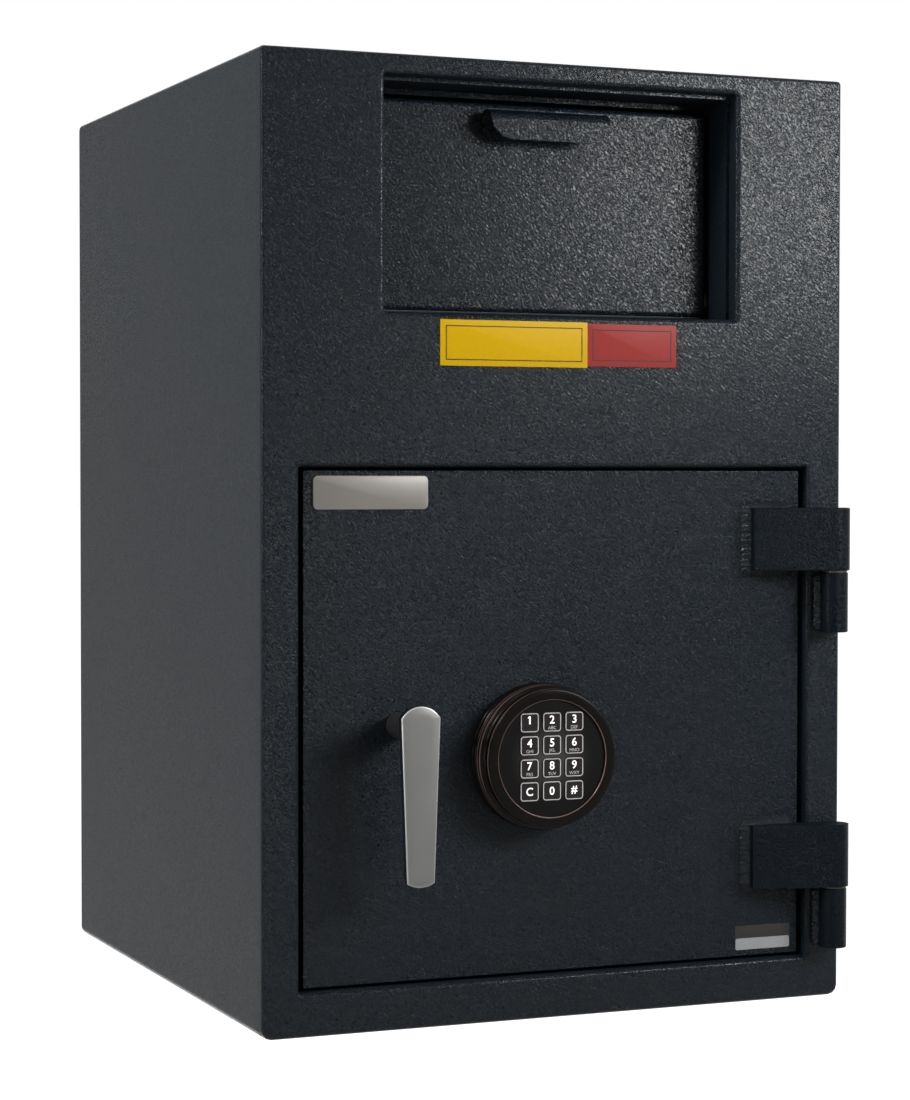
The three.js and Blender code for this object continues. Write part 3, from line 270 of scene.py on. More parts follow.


# Charcoal powder coat with a leather grain; hinges carry less of it. Its depth scales the colour, so the
# hinge, weld and lever-side copies are darker: painted shade.
def slatePaint(name, grain, roughness=slate["roughness"], depth=1.0, specular=slate["specular"]):
    tree, shader, place, material = newMaterial(name)
    leaning = addStretch(tree, place, (1.0, 1.0, 1.0), (0.0, -slate["grainLean"], 0.0))
    tilted = addStretch(tree, leaning, (slate["grainStretch"], 1.0, 1.0))
    creases = addNoise(tree, tilted, slate["grain"], *slate["creases"])
    pebbles = tree.nodes.new("ShaderNodeTexVoronoi")
    pebbles.feature = "SMOOTH_F1"
    pebbles.inputs["Scale"].default_value = slate["grain"] * slate["pebbles"]
    pebbles.inputs["Smoothness"].default_value = slate["pebbleSmooth"]
    tree.links.new(tilted, pebbles.inputs["Vector"])
    domes = addRange(tree, pebbles.outputs["Distance"], 1.0, 0.0, *slate["pebbleReach"])
    ridges = addRange(tree, creases, 0.0, 1.0, *slate["ridgeReach"])
    leather = addSum(tree, addRange(tree, domes, 0.0, slate["pebbleShare"]), ridges)
    fine = addNoise(tree, place, slate["grain"] * slate["fine"], *slate["fineNoise"])
    waves = addNoise(tree, place, *slate["waves"])
    patches = addNoise(tree, place, *slate["patches"])
    normal = addBump(tree, leather, grain, slate["grainDepth"])
    fineDepth = slate["grainDepth"] * slate["fineDepth"]
    normal = addBump(tree, fine, slate["fineStrength"] * grain, fineDepth, normal)
    normal = addBump(tree, waves, slate["waveStrength"], slate["waveDepth"], normal)
    tree.links.new(normal, shader.inputs["Normal"])
    patchy = [tint(slate["color"], level * depth) for level in slate["patchTint"]]
    low = addBlend(tree, patches, *patchy)
    # Painted shade in the creases and painted highlight on the crests, multiplied into the colour.
    grainPaintedShade = tree.nodes.new("ShaderNodeMix")
    grainPaintedShade.data_type = "RGBA"
    grainPaintedShade.blend_type = "MULTIPLY"
    grainPaintedShade.inputs["Factor"].default_value = 1
    tree.links.new(low, grainPaintedShade.inputs["A"])
    lift = addBlend(tree, leather, slate["pitPaintedShade"], slate["crestPaintedHighlight"])
    tree.links.new(lift, grainPaintedShade.inputs["B"])
    tree.links.new(grainPaintedShade.outputs["Result"], shader.inputs["Base Color"])
    gloss = addRange(tree, patches, *roughness)
    gloss = addSum(tree, gloss, addRange(tree, fine, -slate["fineGloss"], slate["fineGloss"]))
    gloss = addSum(tree, gloss, addRange(tree, leather, slate["pitRoughness"], 0.0, *slate["pitReach"]))
    across = tree.nodes.new("ShaderNodeSeparateXYZ")
    tree.links.new(place.node.outputs["Normal"], across.inputs["Vector"])
    for axis, added, reach in (("X", "sideRoughness", "sideReach"), ("Z", "levelRoughness", "levelReach")):
        facing = tree.nodes.new("ShaderNodeMath")
        facing.operation = "ABSOLUTE"
        tree.links.new(across.outputs[axis], facing.inputs[0])
        gloss = addSum(tree, gloss, addRange(tree, facing.outputs[0], 0.0, slate[added], *slate[reach]))
    tree.links.new(gloss, shader.inputs["Roughness"])
    shader.inputs["Specular IOR Level"].default_value = specular
    return material


plated = {
    "clouds": (22.0, 4.0, 0.6, 0.4),
    "lines": (60.0, 3.0, 0.65),
    "scuffs": (900.0, 2.0, 0.7),
    "lineGloss": 0.08,
    "lineBump": (0.25, 0.06 * mm),
    "scuffBump": (0.15, 0.02 * mm),
}


# Plated or rolled sheet: cloudy colour, fine rolling lines and small scuffs.
def platedSteel(name, color, second, roughness, streak, metallic=1.0):
    tree, shader, place, material = newMaterial(name)
    clouds = addNoise(tree, place, *plated["clouds"])
    lines = addNoise(tree, addStretch(tree, place, streak), *plated["lines"])
    scuffs = addNoise(tree, place, *plated["scuffs"])
    tree.links.new(addBlend(tree, clouds, color, second), shader.inputs["Base Color"])
    gloss = addRange(tree, clouds, *roughness)
    gloss = addSum(tree, gloss, addRange(tree, lines, -plated["lineGloss"], plated["lineGloss"]))
    tree.links.new(gloss, shader.inputs["Roughness"])
    normal = addBump(tree, lines, *plated["lineBump"])
    normal = addBump(tree, scuffs, *plated["scuffBump"], normal)
    tree.links.new(normal, shader.inputs["Normal"])
    shader.inputs["Metallic"].default_value = metallic
    return material


leverSatin = {
    "colors": ((0.081, 0.081, 0.0785), (0.096, 0.0952, 0.092)),
    "brushing": (40.0, 40.0, 1.2),  # stretches the brushing along the lever
    "brush": (40.0, 3.0, 0.7),
    "clouds": (30.0, 3.0, 0.5),
    "grain": (2600.0, 2.0, 0.6),
    "brushGloss": (0.34, 0.46),
    "cloudGloss": 0.03,
    "grainBump": (0.12, 0.03 * mm),
    "brushBump": (0.1, 0.04 * mm),
    "metallic": 0.35,
    "specular": 0.3,
}

leverRimHighlight = {
    "colors": ((0.19, 0.188, 0.182), (0.24, 0.238, 0.23)),
    "clouds": (60.0, 3.0, 0.5),
    "gloss": (0.2, 0.3),
    "bump": (0.05, 0.05 * mm),
    "metallic": 0.3,
    "specular": 0.3,
}


# The lever's satin plated face, faintly brushed along its length.
def satinCasting(name):
    tree, shader, place, material = newMaterial(name)
    brush = addNoise(tree, addStretch(tree, place, leverSatin["brushing"]), *leverSatin["brush"])
    clouds = addNoise(tree, place, *leverSatin["clouds"])
    grain = addNoise(tree, place, *leverSatin["grain"])
    tree.links.new(addBlend(tree, clouds, *leverSatin["colors"]), shader.inputs["Base Color"])
    gloss = addRange(tree, brush, *leverSatin["brushGloss"])
    gloss = addSum(tree, gloss, addRange(tree, clouds, -leverSatin["cloudGloss"], leverSatin["cloudGloss"]))
    tree.links.new(gloss, shader.inputs["Roughness"])
    normal = addBump(tree, grain, *leverSatin["grainBump"])
    normal = addBump(tree, brush, *leverSatin["brushBump"], normal)
    tree.links.new(normal, shader.inputs["Normal"])
    shader.inputs["Metallic"].default_value = leverSatin["metallic"]
    shader.inputs["Specular IOR Level"].default_value = leverSatin["specular"]
    return material


# The lever's polished rim, its colour lighter than the face's as a painted highlight.
def rimPaintedHighlight(name):
    tree, shader, place, material = newMaterial(name)
    clouds = addNoise(tree, place, *leverRimHighlight["clouds"])
    tree.links.new(addBlend(tree, clouds, *leverRimHighlight["colors"]), shader.inputs["Base Color"])
    tree.links.new(addRange(tree, clouds, *leverRimHighlight["gloss"]), shader.inputs["Roughness"])
    tree.links.new(addBump(tree, clouds, *leverRimHighlight["bump"]), shader.inputs["Normal"])
    shader.inputs["Metallic"].default_value = leverRimHighlight["metallic"]
    shader.inputs["Specular IOR Level"].default_value = leverRimHighlight["specular"]
    return material


bronze = {
    "clouds": (45.0, 4.0, 0.6, 0.3),
    "specks": (1500.0, 2.0, 0.6),
    "cloudGloss": (0.18, 0.3),
    "speckGloss": (-0.03, 0.04),
    "bump": (0.12, 0.03 * mm),
    "metallic": 0.25,
    "specular": 0.07,
}


# Polished near-black bronze plate, cloudy between two colours. Its lighter brown copy marks the bezel's
# crests: rubbed bronze with a painted highlight.
def darkBronze(name, color, second):
    tree, shader, place, material = newMaterial(name)
    clouds = addNoise(tree, place, *bronze["clouds"])
    specks = addNoise(tree, place, *bronze["specks"])
    tree.links.new(addBlend(tree, clouds, color, second), shader.inputs["Base Color"])
    gloss = addRange(tree, clouds, *bronze["cloudGloss"])
    gloss = addSum(tree, gloss, addRange(tree, specks, *bronze["speckGloss"]))
    tree.links.new(gloss, shader.inputs["Roughness"])
    tree.links.new(addBump(tree, specks, *bronze["bump"]), shader.inputs["Normal"])
    shader.inputs["Metallic"].default_value = bronze["metallic"]
    shader.inputs["Specular IOR Level"].default_value = bronze["specular"]
    return material


keyPlastic = {
    "color": (0.007, 0.006, 0.006),
    "lift": 1.3,
    "spark": (2000.0, 3.0, 0.6),
    "clouds": (55.0, 3.0, 0.5),
    "cloudGloss": (0.3, 0.4),
    "sparkGloss": 0.05,
    "bump": (0.35, 0.03 * mm),
    "specular": 0.07,
}


# The keys' moulded plastic, with a fine spark texture and slight colour drift.
def keyBlack(name):
    tree, shader, place, material = newMaterial(name)
    spark = addNoise(tree, place, *keyPlastic["spark"])
    clouds = addNoise(tree, place, *keyPlastic["clouds"])
    lifted = tint(keyPlastic["color"], keyPlastic["lift"])
    tree.links.new(addBlend(tree, clouds, keyPlastic["color"], lifted), shader.inputs["Base Color"])
    sparkGloss = keyPlastic["sparkGloss"]
    gloss = addRange(tree, clouds, *keyPlastic["cloudGloss"])
    gloss = addSum(tree, gloss, addRange(tree, spark, -sparkGloss, sparkGloss))
    tree.links.new(gloss, shader.inputs["Roughness"])
    tree.links.new(addBump(tree, spark, *keyPlastic["bump"]), shader.inputs["Normal"])
    shader.inputs["Specular IOR Level"].default_value = keyPlastic["specular"]
    return material


keypad = {
    # reach: radius of the painted highlight about the keypad's middle.
    "reach": 38 * mm,
    "colors": ((0.002, 0.0018, 0.0017), (0.03, 0.0294, 0.028)),
    "swirls": (70.0, 4.0, 0.6, 1.2),
    "spark": (1700.0, 3.0, 0.6),
    "mottling": (0.75, 1.2),
    "gloss": (0.4, 0.52),
    "bump": (0.3, 0.05 * mm),
    "specular": 0.04,
}


# The keypad's face: lighter about its middle as a painted highlight, with faint swirls of its moulding.
def keypadFaceHighlit(name, middle):
    tree, shader, place, material = newMaterial(name)
    centred = tree.nodes.new("ShaderNodeMapping")
    centred.inputs["Location"].default_value = (-middle.x, 0, -middle.z)
    centred.inputs["Scale"].default_value = (1, 0, 1)
    tree.links.new(place, centred.inputs["Vector"])
    away = tree.nodes.new("ShaderNodeVectorMath")
    away.operation = "LENGTH"
    tree.links.new(centred.outputs["Vector"], away.inputs[0])
    # Painted highlight: the colour is lighter towards the keypad's middle.
    glow = tree.nodes.new("ShaderNodeMapRange")
    glow.interpolation_type = "SMOOTHSTEP"
    glow.inputs["From Min"].default_value = 0
    glow.inputs["From Max"].default_value = keypad["reach"]
    glow.inputs["To Min"].default_value = 1
    glow.inputs["To Max"].default_value = 0
    tree.links.new(away.outputs["Value"], glow.inputs["Value"])
    swirls = addNoise(tree, centred.outputs["Vector"], *keypad["swirls"])
    spark = addNoise(tree, place, *keypad["spark"])
    mottling = addRange(tree, swirls, *keypad["mottling"])
    mottledHighlight = addSum(tree, glow.outputs["Result"], mottling, "MULTIPLY")
    tree.links.new(addBlend(tree, mottledHighlight, *keypad["colors"]), shader.inputs["Base Color"])
    tree.links.new(addRange(tree, swirls, *keypad["gloss"]), shader.inputs["Roughness"])
    tree.links.new(addBump(tree, spark, *keypad["bump"]), shader.inputs["Normal"])
    shader.inputs["Specular IOR Level"].default_value = keypad["specular"]
    return material


ink = {
    "cover": (240.0, 4.0, 0.6),
    "wear": (35.0, 3.0, 0.5),
    "tints": (0.9, 1.06),
    "glossSpread": 0.08,
    "bump": (0.1, 0.03 * mm),
    "specular": 0.04,
}


# Screen-printed ink or vinyl: slightly uneven cover and gloss.
def printedInk(name, color, roughness=0.5):
    tree, shader, place, material = newMaterial(name)
    cover = addNoise(tree, place, *ink["cover"])
    wear = addNoise(tree, place, *ink["wear"])
    thinAndFull = [tint(color, level) for level in ink["tints"]]
    tree.links.new(addBlend(tree, cover, *thinAndFull), shader.inputs["Base Color"])
    gloss = addRange(tree, wear, roughness - ink["glossSpread"], roughness + ink["glossSpread"])
    tree.links.new(gloss, shader.inputs["Roughness"])
    tree.links.new(addBump(tree, cover, *ink["bump"]), shader.inputs["Normal"])
    shader.inputs["Specular IOR Level"].default_value = ink["specular"]
    return material


finishes = {
    "slate": slatePaint("slatePaint", grain=1.0),
    # slateHinge, slateWeld and weldBead take the paint's colour darker by their depth: painted shade.
    "slateHinge": slatePaint("slateHinge", grain=0.5, roughness=(0.12, 0.17), depth=0.6, specular=0.04),
    "slateWeld": slatePaint("slateWeld", grain=0.25, roughness=(0.2, 0.28), depth=0.7, specular=0.07),
    "weldBead": slatePaint("weldBead", grain=1.2, roughness=(0.12, 0.18), depth=0.7, specular=0.14),
    "neck": platedSteel(
        "neckSteel", (0.008, 0.008, 0.008), (0.014, 0.0135, 0.013),
        roughness=(0.26, 0.36), streak=(1, 16, 1), metallic=0.3,
    ),
    "satin": satinCasting("satinCasting"),
    "rim": rimPaintedHighlight("rimPaintedHighlight"),
    "bronze": darkBronze("darkBronze", (0.0012, 0.0009, 0.0008), (0.0026, 0.0018, 0.0015)),
    "rubbedAndHighlit": darkBronze("rubbedHighlitBronze", (0.04, 0.027, 0.022), (0.12, 0.08, 0.066)),
    "zinc": platedSteel(
        "zincPlate", (0.3, 0.31, 0.32), (0.37, 0.37, 0.355), roughness=(0.42, 0.56), streak=(1, 1, 12),
    ),
    "steel": platedSteel(
        "turnedSteel", (0.4, 0.41, 0.42), (0.48, 0.48, 0.48), roughness=(0.26, 0.38), streak=(12, 12, 1),
    ),
    "brass": platedSteel(
        "bushBrass", (0.03, 0.023, 0.014), (0.05, 0.038, 0.022),
        roughness=(0.3, 0.42), streak=(8, 8, 1), metallic=0.6,
    ),
    "keypad": keypadFaceHighlit("keypadBlack", middleOf("keypad_face")),
    "key": keyBlack("keyBlack"),
    "keyPrint": printedInk("keyPrint", (0.8, 0.77, 0.75)),
    "keyLine": printedInk("keyLine", (0.3, 0.287, 0.28)),
    "yellow": printedInk("yellowVinyl", (0.3, 0.182, 0.001), roughness=0.42),
    "red": printedInk("redVinyl", (0.143, 0.0185, 0.0165), roughness=0.42),
    "blackInk": printedInk("blackInk", (0.02, 0.019, 0.018), roughness=0.45),
    "paleInk": printedInk("paleInk", (0.155, 0.157, 0.16), roughness=0.45),
    "silver": platedSteel(
        "silverPlate", (0.085, 0.0795, 0.0705), (0.099, 0.0925, 0.083),
        roughness=(0.34, 0.44), streak=(1, 30, 30), metallic=0.3,
    ),
}
print("materials made:", len(finishes))


# Pieces made here

# A finished mesh, smooth but for its sharp edges, riding on its body.
def keepPiece(bm, name, body, finish, sharpAngle=38.0):
    bmesh.ops.recalc_face_normals(bm, faces=bm.faces)
    for face in bm.faces:
        face.smooth = True
    for edge in bm.edges:
        edge.smooth = edge.calc_face_angle(0) < math.radians(sharpAngle)
    mesh = bpy.data.meshes.new(name)
    bm.to_mesh(mesh)
    bm.free()
    mesh.materials.append(finishes[finish])
    piece = bpy.data.objects.new(name, mesh)
    bpy.context.scene.collection.objects.link(piece)
    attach(piece, body)
    return piece


# Turns a piece drawn flat, with its face up, to look towards the front.
def faceForward(bm):
    bmesh.ops.rotate(bm, cent=(0, 0, 0), matrix=Matrix.Rotation(math.radians(90), 3, "X"), verts=bm.verts)


# A rounded rectangle drawn flat about the origin.
def flatPlate(width, height, cornerRadius, cornerSegments=6):
    bm = bmesh.new()
    bmesh.ops.create_grid(bm, x_segments=1, y_segments=1, size=0.5)
    bmesh.ops.scale(bm, vec=(width, height, 1), verts=bm.verts)
    if cornerRadius > 0:
        bmesh.ops.bevel(
            bm, geom=list(bm.verts), offset=cornerRadius, offset_type="OFFSET",
            segments=cornerSegments, profile=0.5, affect="VERTICES", material=-1,
        )
    return bm


# Extrudes a flat outline up and rounds its upper rim.
def thicken(bm, thickness, edgeRadius=0.0, edgeSegments=3):
    grown = bmesh.ops.extrude_face_region(bm, geom=list(bm.faces))
    top = [item for item in grown["geom"] if isinstance(item, bmesh.types.BMVert)]
    bmesh.ops.translate(bm, vec=(0, 0, thickness), verts=top)
    if edgeRadius > 0:
        topSet = set(top)
        bm.normal_update()
        rim = [
            edge for edge in bm.edges
            if all(vert in topSet for vert in edge.verts)
            and any(abs(face.normal.z) < 0.5 for face in edge.link_faces)
        ]
        bmesh.ops.bevel(
            bm, geom=rim, offset=edgeRadius, offset_type="OFFSET", segments=edgeSegments,
            profile=0.5, affect="EDGES", material=-1,
        )


# A thin plate whose back lies on the surface at the given place.
def makePlate(name, body, finish, look, at):
    bm = flatPlate(look["width"], look["height"], look["corner"])
    thicken(bm, look["thickness"], look["edge"])
    faceForward(bm)
    bmesh.ops.translate(bm, vec=at, verts=bm.verts)
    return keepPiece(bm, name, body, finish)


# A thin printed line round a rounded rectangle.
def makeOutline(name, body, finish, look, at):
    bm = flatPlate(look["width"], look["height"], look["corner"], cornerSegments=5)
    inset = bmesh.ops.inset_individual(bm, faces=list(bm.faces), thickness=look["line"], use_even_offset=True)
    rims = set(inset["faces"])
    bmesh.ops.delete(bm, geom=[face for face in bm.faces if face not in rims], context="FACES")
    thicken(bm, look["thickness"])
    faceForward(bm)
    bmesh.ops.translate(bm, vec=at, verts=bm.verts)
    return keepPiece(bm, name, body, finish)


# A profile of radius and depth, spun about an axis along Y through a place in X and Z.
def turned(profile, segments, axisPlace):
    bm = bmesh.new()
    verts = [bm.verts.new((radius, depth, 0)) for radius, depth in profile]
    edges = [bm.edges.new(pair) for pair in zip(verts, verts[1:])]
    bmesh.ops.spin(
        bm, geom=verts + edges, cent=(0, 0, 0), axis=(0, 1, 0), angle=2 * math.pi, steps=segments,
        use_merge=True, use_duplicate=False,
    )
    bmesh.ops.remove_doubles(bm, verts=bm.verts, dist=1e-6)
    bmesh.ops.translate(bm, vec=(axisPlace[0], 0, axisPlace[1]), verts=bm.verts)
    return bm


# Points of an arc in radius and depth, for a turned profile.
def arc(centre, radius, fromDegrees, toDegrees, steps):
    points = []
    for step in range(steps + 1):
        angle = math.radians(fromDegrees + (toDegrees - fromDegrees) * step / steps)
        points.append((centre[0] + radius * math.cos(angle), centre[1] + radius * math.sin(angle)))
    return points


# Lock dial

dial = {
    "segments": 128,
    "hole": 4.3 * mm,
    "baseHole": 6.1 * mm,
    "baseEdge": 0.9 * mm,
    "baseEdgeSteps": 5,
    "backEdge": 0.8 * mm,
    "faceGap": 0.25 * mm,
    "floorGap": 0.3 * mm,
    "rubbedHighlitReach": 0.5 * mm,
    "lipCover": 1.7 * mm,
    "lipRoll": 1.1 * mm,
    "lipBack": (1.9 * mm, 1.95 * mm),
    "lipRise": ((0.9, 0.12 * mm), (0.87, 0.02 * mm)),
    "lipTurn": (-85, -180, 7),  # degrees where the roll starts and ends, and its parts
    "lipCrest": 0.3,
    # The steps as shares of the ring's radius and depth. Four numbers more make a point
    # the middle of a roll: its radius, the degrees where it starts and ends, its parts.
    "steps": (
        (1, 0.17), (0.997, 0.2), (0.962, 0.27, 0.022, 50, -20, 4),
        (0.958, 0.315), (0.956, 0.33), (0.958, 0.4, 0.021, 60, -10, 4), (0.958, 0.5, 0.021, 10, -60, 4),
        (0.944, 0.585), (0.936, 0.61), (0.932, 0.64), (0.925, 0.7, 0.02, 70, 0, 4),
        (0.944, 0.8), (0.94, 0.88), (0.915, 0.93, 0.0245, -5, -88, 7),
    ),
    "crests": ((0.984, 0.27), (0.979, 0.45), (0.945, 0.7), (0.94, 0.9)),
    "keyLine": {
        "width": 15.4 * mm, "height": 14.8 * mm, "corner": 2.4 * mm,
        "line": 0.7 * mm, "thickness": 0.08 * mm,
    },
    "digit": 9.0 * mm,
    "digitWeight": 0.13 * mm,
    "digitLift": 2.0 * mm,
    "one": (
        (0.7, -3.15), (0.7, 3.15), (-0.45, 3.15), (-1.7, 2.35), (-1.7, 1.15), (-0.65, 1.75), (-0.65, -3.15),
    ),
    "letters": 3.7 * mm,
    "lettersDrop": 4.5 * mm,
    "printDepth": 0.07 * mm,
    "printSteps": 4,  # of each curve of a character
}

keyLegends = {
    "key_1": ("1", ""), "key_2": ("2", "ABC"), "key_3": ("3", "DEF"),
    "key_4": ("4", "GHI"), "key_5": ("5", "JKL"), "key_6": ("6", "MNO"),
    "key_7": ("7", "PRS"), "key_8": ("8", "TUV"), "key_9": ("9", "WXY"),
    "key_clear": ("C", ""), "key_0": ("0", ""), "key_enter": ("#", ""),
}


# The stepped bezel, with rounded steps, a groove, and crests and an inner rim in a lighter brown: rubbed
# bronze with a painted highlight.
def makeDialRing():
    low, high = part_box("dial_ring")
    faceLow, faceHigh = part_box("keypad_face")
    middle = middleOf("dial_ring")
    outer = (high.x - low.x) / 2
    depth = high.y - low.y
    bore = (faceHigh.x - faceLow.x) / 2 + dial["faceGap"]
    lip = bore - dial["lipCover"]
    roll = dial["lipRoll"]
    back, ahead = high.y, low.y
    floor = faceHigh.y + dial["floorGap"]
    hole, edge = dial["hole"], dial["backEdge"]
    profile = [(hole, back), (outer - edge, back), (outer, back - edge)]
    for reach, share, *bend in dial["steps"]:
        spot = (outer * reach, back - depth * share)
        if bend:
            profile += arc(spot, outer * bend[0], *bend[1:])
        else:
            profile.append(spot)
    profile += [(outer * reach, ahead + rise) for reach, rise in dial["lipRise"]]
    profile += arc((lip + roll, ahead + roll), roll, *dial["lipTurn"])
    lipBack, boreBack = dial["lipBack"]
    profile += [(lip, ahead + lipBack), (bore, ahead + boreBack), (bore, floor), (hole, floor), (hole, back)]
    bm = turned(profile, dial["segments"], (middle.x, middle.z))
    # Faces near the crests take the lighter brown copy: rubbed bronze with a painted highlight.
    crests = [(outer * reach, back - depth * share) for reach, share in dial["crests"]]
    crests.append((lip + roll * dial["lipCrest"], ahead + roll * dial["lipCrest"]))
    for face in bm.faces:
        spot = face.calc_center_median()
        reach = math.hypot(spot.x - middle.x, spot.z - middle.z)
        close = min(math.hypot(reach - crest[0], spot.y - crest[1]) for crest in crests)
        face.material_index = 1 if close < dial["rubbedHighlitReach"] else 0
    ring = keepPiece(bm, "dialBezel", "dial", "bronze", sharpAngle=50)
    ring.data.materials.append(finishes["rubbedAndHighlit"])
    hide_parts("dial_ring")


def makeDialBase():
    low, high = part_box("keypad_base")
    middle = middleOf("keypad_base")
    radius = (high.x - low.x) / 2
    hole, edge = dial["baseHole"], dial["baseEdge"]
    profile = [(hole, high.y), (radius, high.y), (radius, low.y + edge)]
    profile += arc((radius - edge, low.y + edge), edge, 0, -90, dial["baseEdgeSteps"])
    profile += [(hole, low.y), (hole, high.y)]
    bm = turned(profile, dial["segments"], (middle.x, middle.z))
    base = keepPiece(bm, "dialBase", "door", "bronze")
    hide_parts("keypad_base")


# A flat printed character, centred on a place on the key's face.
def makeLegend(name, text, size, place, body, finish, weight):
    curve = bpy.data.curves.new(name, "FONT")
    curve.body = text
    curve.size = size
    curve.align_x = "CENTER"
    curve.align_y = "CENTER"
    curve.extrude = dial["printDepth"] / 2
    curve.offset = weight
    curve.resolution_u = dial["printSteps"]
    temporary = bpy.data.objects.new(name + "Curve", curve)
    bpy.context.scene.collection.objects.link(temporary)
    bpy.context.view_layer.update()
    mesh = bpy.data.meshes.new_from_object(temporary.evaluated_get(bpy.context.evaluated_depsgraph_get()))
    bpy.data.objects.remove(temporary)
    bm = bmesh.new()
    bm.from_mesh(mesh)
    bpy.data.meshes.remove(mesh)
    bmesh.ops.remove_doubles(bm, verts=bm.verts, dist=1e-7)
    low = min(vert.co.y for vert in bm.verts)
    high = max(vert.co.y for vert in bm.verts)
    left = min(vert.co.x for vert in bm.verts)
    right = max(vert.co.x for vert in bm.verts)
    toMiddle = (-(left + right) / 2, -(low + high) / 2, dial["printDepth"] / 2)
    bmesh.ops.translate(bm, vec=toMiddle, verts=bm.verts)
    faceForward(bm)
    bmesh.ops.translate(bm, vec=place, verts=bm.verts)
    return keepPiece(bm, name, body, finish)


# The figure one with its flag, from its outline.
def makeOne(name, place, body):
    bm = bmesh.new()
    bm.faces.new([bm.verts.new((x * mm, y * mm, 0)) for x, y in dial["one"]])
    thicken(bm, dial["printDepth"])
    faceForward(bm)
    bmesh.ops.translate(bm, vec=place, verts=bm.verts)
    return keepPiece(bm, name, body, "keyPrint")


def makeKeyPrints():
    for key, (digit, letters) in keyLegends.items():
        low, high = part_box(key)
        middle = (low + high) / 2
        face = Vector((middle.x, low.y, middle.z))
        makeOutline(key + "_line", key, "keyLine", dial["keyLine"], face)
        lift = dial["digitLift"] if letters or digit == "1" else 0.0
        spot = face + Vector((0, 0, lift))
        if digit == "1":
            makeOne(key + "_digit", spot, key)
        else:
            makeLegend(key + "_digit", digit, dial["digit"], spot, key, "keyPrint", dial["digitWeight"])
        if letters:
            below = face - Vector((0, 0, dial["lettersDrop"]))
            makeLegend(key + "_letters", letters, dial["letters"], below, key, "keyLine", 0.0)


makeDialRing()
makeDialBase()
makeKeyPrints()
print("dial made")


# Lever handle

lever = {
    "tipWidth": 22.8 * mm, "tipArc": 21 * mm, "topArc": 18.6 * mm, "thickness": 8 * mm,
    "edge": 0.95 * mm, "backEdge": 0.8 * mm,
    "crown": ((1.4 * mm, 0.1 * mm), (3.4 * mm, 0.5 * mm), (5.6 * mm, 0.8 * mm), (8 * mm, 0.95 * mm)),
    "neck": 10.2 * mm, "flare": 15.5 * mm, "flareBend": 1.15, "neckPlain": 6 * mm,
    "flareSteps": 10, "neckChamfer": 0.8 * mm, "neckSegments": 64,
    "neckStart": 0.6,  # of the blade's thickness
    "tipSteps": 12, "topSteps": 18, "backSteps": 3, "edgeSteps": 5,
}


# Outline of the blade in X and Z, drawn in by an inset, anticlockwise from its lower right.
def leverOutline(low, high, inset):
    middle = (low.x + high.x) / 2
    half = (high.x - low.x) / 2 - inset
    halfTip = lever["tipWidth"] / 2 - inset
    tipArc = lever["tipArc"] - inset
    topArc = lever["topArc"] - inset
    tipSpan = math.degrees(math.asin(halfTip / tipArc))
    topSpan = math.degrees(math.asin(half / topArc))
    tipMiddle, topMiddle = (middle, low.z + inset + tipArc), (middle, high.z - inset - topArc)
    points = arc(tipMiddle, tipArc, -90 - tipSpan, -90 + tipSpan, lever["tipSteps"])
    return points + arc(topMiddle, topArc, 90 - topSpan, 90 + topSpan, lever["topSteps"])


# A closed skin bridged over rings of points, with the finish of each band.
def loft(outlines, bands):
    bm = bmesh.new()
    loops = []
    for outline in outlines:
        ring = [bm.verts.new(point) for point in outline]
        loops.append([bm.edges.new(pair) for pair in zip(ring, ring[1:] + ring[:1])])
    for first, second, band in zip(loops, loops[1:], bands):
        for face in bmesh.ops.bridge_loops(bm, edges=first + second)["faces"]:
            face.material_index = band
    for rim, band in ((loops[0], bands[0]), (loops[-1], bands[-1])):
        for face in bmesh.ops.holes_fill(bm, edges=rim, sides=0)["faces"]:
            face.material_index = band
    return bm


